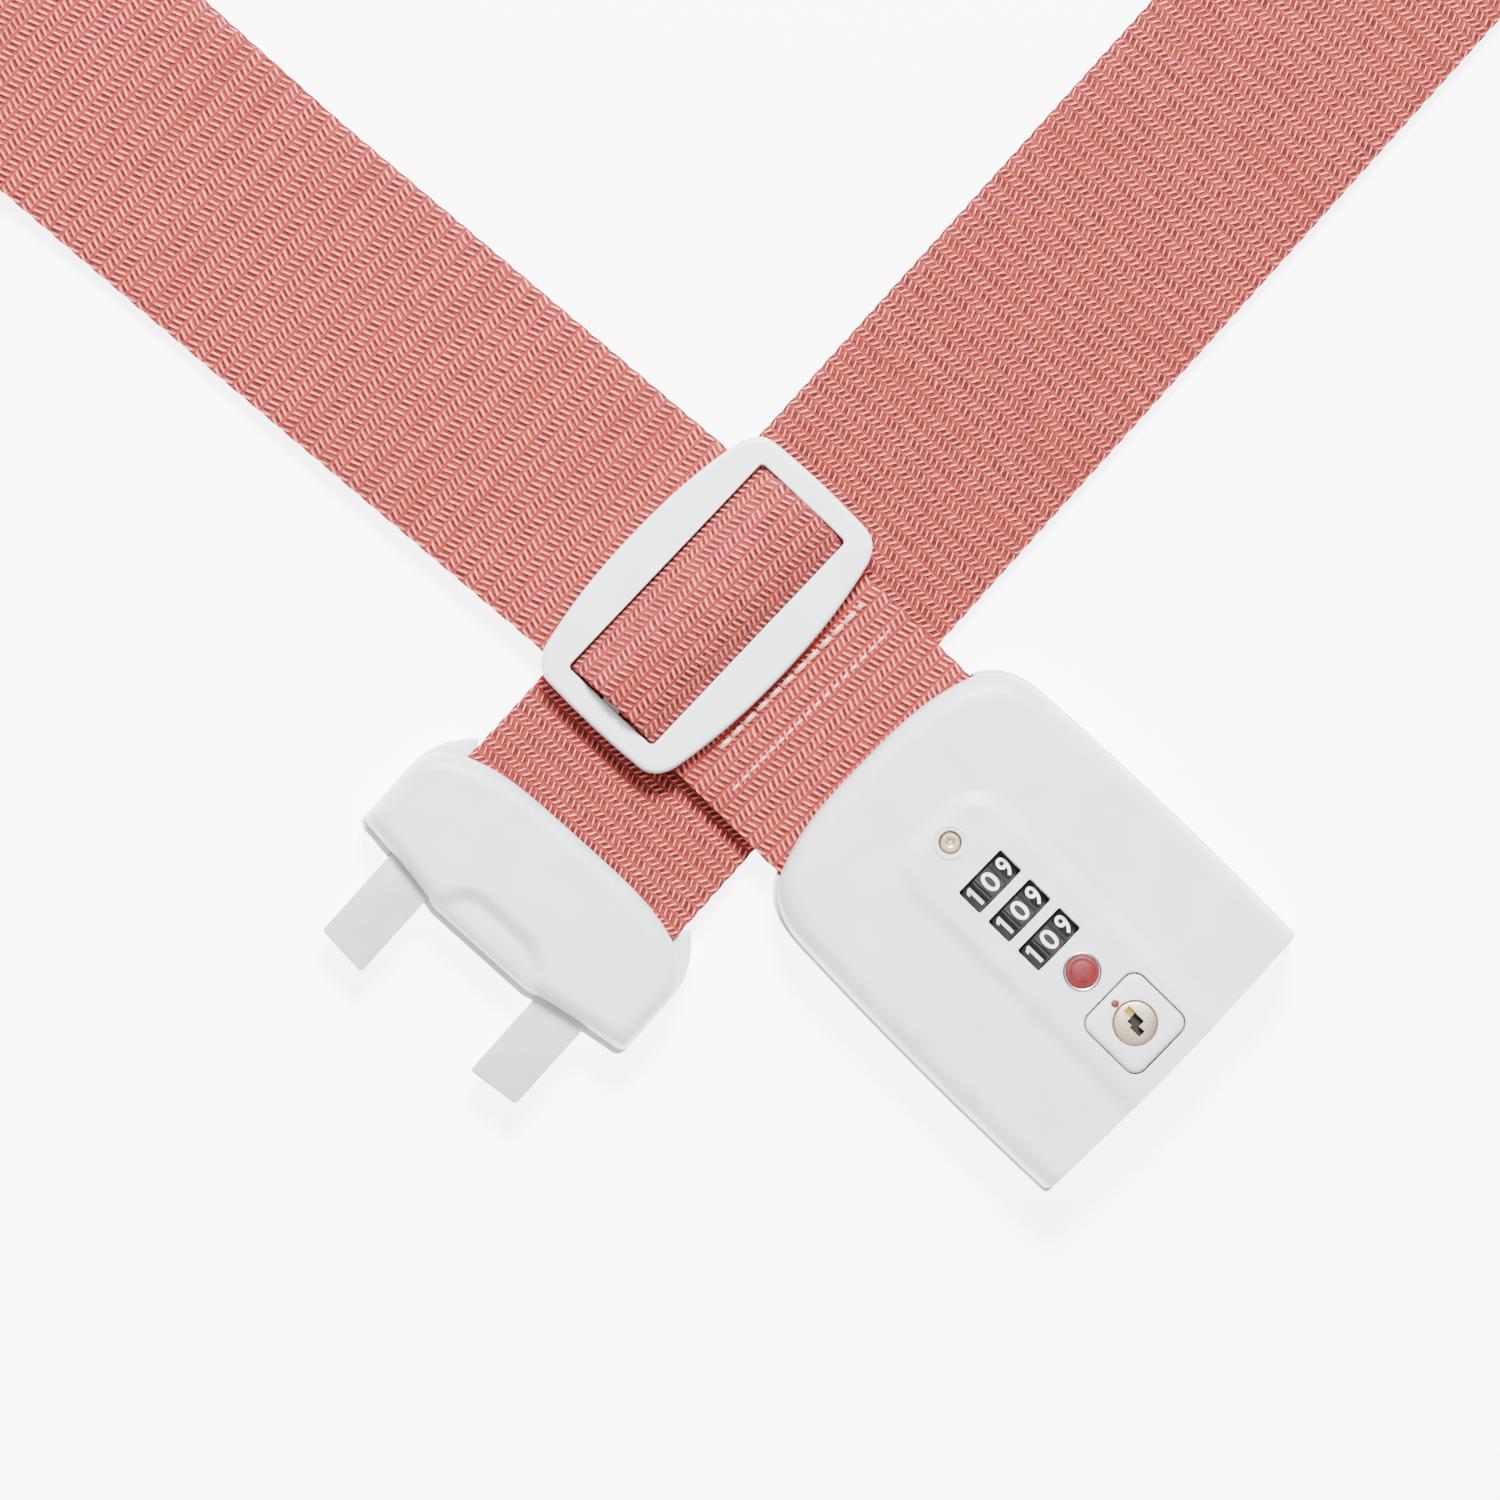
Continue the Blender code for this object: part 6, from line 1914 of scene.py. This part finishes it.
@dataclass
class Strap:
    """All of the webbing, with the stitches that hold its end."""

    finishes: Finishes
    sizes: StrapSizes
    adjuster: Adjuster
    male: MaleBuckle

    def __post_init__(self) -> None:
        """Lays out the route."""
        self.route = Route(self.sizes, self.male.sizes)

    def declare(self, piece: bpy.types.Object,
                replaces: Sequence[str]) -> None:
        """Gives a piece of webbing its finish and hides the CAD nodes that it stands for.

        Args:
            piece: the object.
            replaces: CAD nodes that it stands for.
        """
        dress(piece, self.finishes.webbing, None, replaces)

    def long_runs(self) -> None:
        """Builds both layers, from the pronged buckle to the lock."""
        s, route = self.sizes, self.route
        tight_until = s.cross_run * 0.94
        for name, layer, behind, stations, node in (
            ("webbing_upper", 1, 66.2 * MM, 4, "webbing_upper_run"),
            ("webbing_lower", 0, 79.0 * MM, 3, "webbing_lower_run"),
        ):
            stop = route.reach(behind, layer)

            def line(along: Array, side: Array, offset: Array, layer: int = layer) -> Array:
                return route.place(along, side, layer, offset)

            def pitch(along: Array) -> Array:
                share = smooth_step((along - tight_until) / (60 * MM))
                return s.tight_pitch + (s.row_pitch - s.tight_pitch) * share

            piece = WebbingPiece(name, line, 62 * MM, stop, s, pitch, Weave(stations)).build()
            self.declare(piece, [node])
            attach(piece, Body.STRAP.value)

    def lock_end(self) -> None:
        """Builds the end that goes round the lock's bar and is sewn to itself."""
        s = self.sizes
        middle = s.thick / 2
        start = [(-x, s.upper_bottom(x) + middle) for x in np.linspace(66.4 * MM, 49 * MM, 12)]
        rise = s.upper_bottom(49 * MM) + middle
        start += [(-48.7 * MM, rise), (-44.7 * MM, rise + 0.25 * MM), (-40.0 * MM, rise + 0.45 * MM)]
        centre = np.array((-30.3, 6.2)) * MM
        radius = 2.45 * MM
        angle = np.linspace(math.pi / 2, -math.pi / 2, 18)
        round_bar = centre + radius * np.column_stack([np.cos(angle), np.sin(angle)])
        back = [(-40.0 * MM, centre[1] - radius + 0.2 * MM), (-44.7 * MM, rise + 0.25 * MM - s.stack * 1.02)]
        back += [(-x, s.upper_bottom(x) + middle - s.stack) for x in np.linspace(49.3 * MM, 62.0 * MM, 9)]
        path = np.concatenate([np.array(start), round_bar, np.array(back)])
        length = path_length(path)
        line = path_line(path, lambda points: points)
        piece = WebbingPiece(
            "webbing_lock_loop", line, 0.0, length, s, lambda at: np.full_like(at, s.row_pitch),
            Weave(6, 26)).build()
        self.declare(
            piece, ["webbing_lock_end", "webbing_sewn_tail"])
        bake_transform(piece)

    def male_end(self) -> None:
        """Builds the end that goes round the pronged buckle's bar."""
        s = self.sizes
        middle = s.thick / 2
        upper, lower = middle + s.stack, middle
        rise = s.male_rise
        foot = -(s.male_bend + s.male_rise_length)
        first = -62.2 * MM
        start = [
            (first, upper), (foot - 3 * MM, upper), (foot, upper + 0.05 * MM),
            (-s.male_bend, upper + rise),
        ]
        centre = np.array((-6.2, 4.9)) * MM
        radius = 2.45 * MM
        angle = np.linspace(math.pi / 2, -math.pi / 2, 18)
        round_bar = centre + radius * np.column_stack([np.cos(angle), np.sin(angle)])
        back = [
            (-s.male_bend, lower + rise), (foot, lower + 0.05 * MM), (foot - 3 * MM, lower),
            (first, lower),
        ]
        entry = [(-15 * MM, upper + rise + 1.3 * MM)]
        leave = [(-15 * MM, lower + rise + 0.1 * MM)]
        path = np.array([*start, *entry, *round_bar, *leave, *back])
        length = path_length(path)
        matrix = self.male.matrix
        line = path_line(path, lambda points: placed(points, matrix))
        piece = WebbingPiece(
            "webbing_buckle_loop", line, 0.0, length, s, lambda at: np.full_like(at, s.tight_pitch),
            Weave(5, 26)).build()
        self.declare(piece, ["webbing_male_end"])
        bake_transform(piece)

    def on_adjuster(self) -> None:
        """Builds the hump over the adjuster's bar and the end sewn round the bar."""
        s, size = self.sizes, self.adjuster.sizes
        matrix = self.adjuster.matrix
        reach = 10.2 * MM
        x = np.linspace(-reach, reach, 60)
        hump = np.column_stack([x, 0.85 * MM + size.hump_rise * (1 - np.abs(x / reach) ** 2.6)])
        length = path_length(hump)
        line = path_line(hump, lambda points: placed(points, matrix))
        piece = WebbingPiece("webbing_hump", line, 0.0, length, s, lambda at: np.full_like(at, 2.2 * MM),
                             Weave(8, 40, selvedge=0.6 * MM)).build()
        self.declare(piece, ["webbing_hump"])
        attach(piece, Body.SLIDER.value)
        angle = np.linspace(0.0, 2 * math.pi, 41)[:-1] + math.pi / 2
        ring = np.column_stack([3.15 * MM * np.cos(angle), 2.3 * MM + 1.65 * MM * np.sin(angle)])
        length = path_length(np.concatenate([ring, ring[:1]]))
        line = path_line(ring, lambda points: placed(points, matrix))
        sewn = WebbingPiece("webbing_sewn_end", line, 0.1 * MM, path_length(ring) - 0.1 * MM, s,
                            lambda at: np.full_like(at, s.row_pitch), Weave(6, 18)).build()
        self.declare(sewn, ["webbing_sewn_end"])
        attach(sewn, Body.SLIDER.value)

    def stitches(self) -> None:
        """Builds two rows of stitches across the strap behind the lock."""
        s = self.sizes
        for name, behind, half, radius, step, low, high in (
            ("stitches_thick", 60.6 * MM, 0.62 * MM, 0.42 * MM, 3.3 * MM, -17 * MM, 21 * MM),
            ("stitches_fine", 53.6 * MM, 0.4 * MM, 0.26 * MM, 2.4 * MM, -21 * MM, 21 * MM),
        ):
            top = s.upper_bottom(behind) + s.thick + 0.05 * MM
            y = np.linspace(low, high, int((high - low) / step) * 10 + 1)
            wave = np.abs(np.sin(math.pi * (y - low) / step)) ** 0.6
            sway = 0.12 * MM * np.sin(y / (7 * MM))
            height = top - 0.75 * MM + (half + 0.45 * MM) * wave
            angle = np.arange(12) * math.pi / 6
            rings = []
            for at, z, off, full in zip(y, height, sway, wave):
                size = radius * (0.6 + 0.4 * full)
                ahead = -behind + off + size * 1.25 * np.cos(angle)
                up = z + size * 0.8 * np.sin(angle)
                rings.append(np.column_stack([ahead, np.full(12, at), up]))
            row = loft(name, rings, sharp=80)
            dress(row, self.finishes.thread, Body.STRAP)

    def build(self) -> None:
        """Builds all of the webbing."""
        self.long_runs()
        self.lock_end()
        self.male_end()
        self.on_adjuster()
        self.stitches()


# ---------------------------------------------------------------- the picture


@dataclass(frozen=True)
class Studio:
    """Floor, soft lamps and the camera."""

    target: tuple[float, float] = (-56.6 * MM, -12.6 * MM)
    lean: float = math.radians(3.5)
    distance: float = 1.2
    lens: float = 154.3
    upwards: tuple[float, float] = (-0.6984, 0.7157)

    def floor(self) -> None:
        """Adds the pale floor."""
        bpy.ops.mesh.primitive_plane_add(size=6.0, location=(0, 0, -0.0005))
        plane = bpy.context.object
        plane.name = "studio_floor"
        made, _, shader = start_material("white_paper")
        shader.inputs["Base Color"].default_value = linear("FAFAFA")
        shader.inputs["Roughness"].default_value = 0.7
        shader.inputs["Emission Color"].default_value = linear("FFFFFF")
        shader.inputs["Emission Strength"].default_value = 5.0
        plane.data.materials.append(made)

    def lamp(self, name: str, place: tuple[float, float, float], size: float, power: float) -> None:
        """Adds a square area lamp that points at the target.

        Args:
            name: its name.
            place: where it is.
            size: side of the square.
            power: in watts.
        """
        light = bpy.data.lights.new(name, "AREA")
        light.shape, light.size, light.energy = "SQUARE", size, power
        made = bpy.data.objects.new(name, light)
        made.location = place
        aim = Vector((*self.target, 0)) - Vector(place)
        made.rotation_euler = aim.to_track_quat("-Z", "Y").to_euler()
        bpy.context.scene.collection.objects.link(made)

    def lamps(self) -> None:
        """Adds the key lamp at the picture's top, a wide overhead one and a fill."""
        up = Vector((*self.upwards, 0))
        right = Vector((self.upwards[1], -self.upwards[0], 0))
        middle = Vector((*self.target, 0))
        key = middle + up * 0.75 + right * 0.05 + Vector((0, 0, 0.95))
        over = middle + up * 0.1 + Vector((0, 0, 1.5))
        fill = middle - up * 0.9 + Vector((0, 0, 0.8))
        self.lamp("key_lamp", tuple(key), 0.35, 66.0)
        self.lamp("overhead_lamp", tuple(over), 1.4, 13.0)
        self.lamp("fill_lamp", tuple(fill), 1.0, 4.0)
        world = bpy.data.worlds.new("pale_studio")
        world.use_nodes = True
        world.node_tree.nodes["Background"].inputs[0].default_value = linear("F4F6F8")
        world.node_tree.nodes["Background"].inputs[1].default_value = 0.34
        bpy.context.scene.world = world

    def camera(self) -> None:
        """Adds the camera, nearly straight above."""
        held = bpy.data.cameras.new("camera")
        held.sensor_width, held.lens, held.clip_end = 36.0, self.lens, 10.0
        made = bpy.data.objects.new("camera", held)
        back = Vector((0, -math.sin(self.lean), math.cos(self.lean)))
        up = Vector((*self.upwards, 0))
        side = up.cross(back).normalized()
        true_up = back.cross(side)
        turn = Matrix((side, true_up, back)).transposed().to_4x4()
        made.matrix_world = Matrix.Translation(Vector((*self.target, 0)) + back * self.distance) @ turn
        bpy.context.scene.collection.objects.link(made)
        bpy.context.scene.camera = made

    def build(self) -> None:
        """Sets the studio up."""
        self.floor()
        self.lamps()
        self.camera()


def main() -> None:
    """Builds every piece, the studio and the camera."""
    finishes = Finishes()
    sizes = StrapSizes()
    LockHousing(finishes).build()
    male = MaleBuckle(finishes)
    male.build()
    adjuster = Adjuster(finishes, sizes)
    adjuster.build()
    Strap(finishes, sizes, adjuster, male).build()
    Studio().build()
    LOG.info("every piece is in place")


if __name__ == "__main__":
    main()
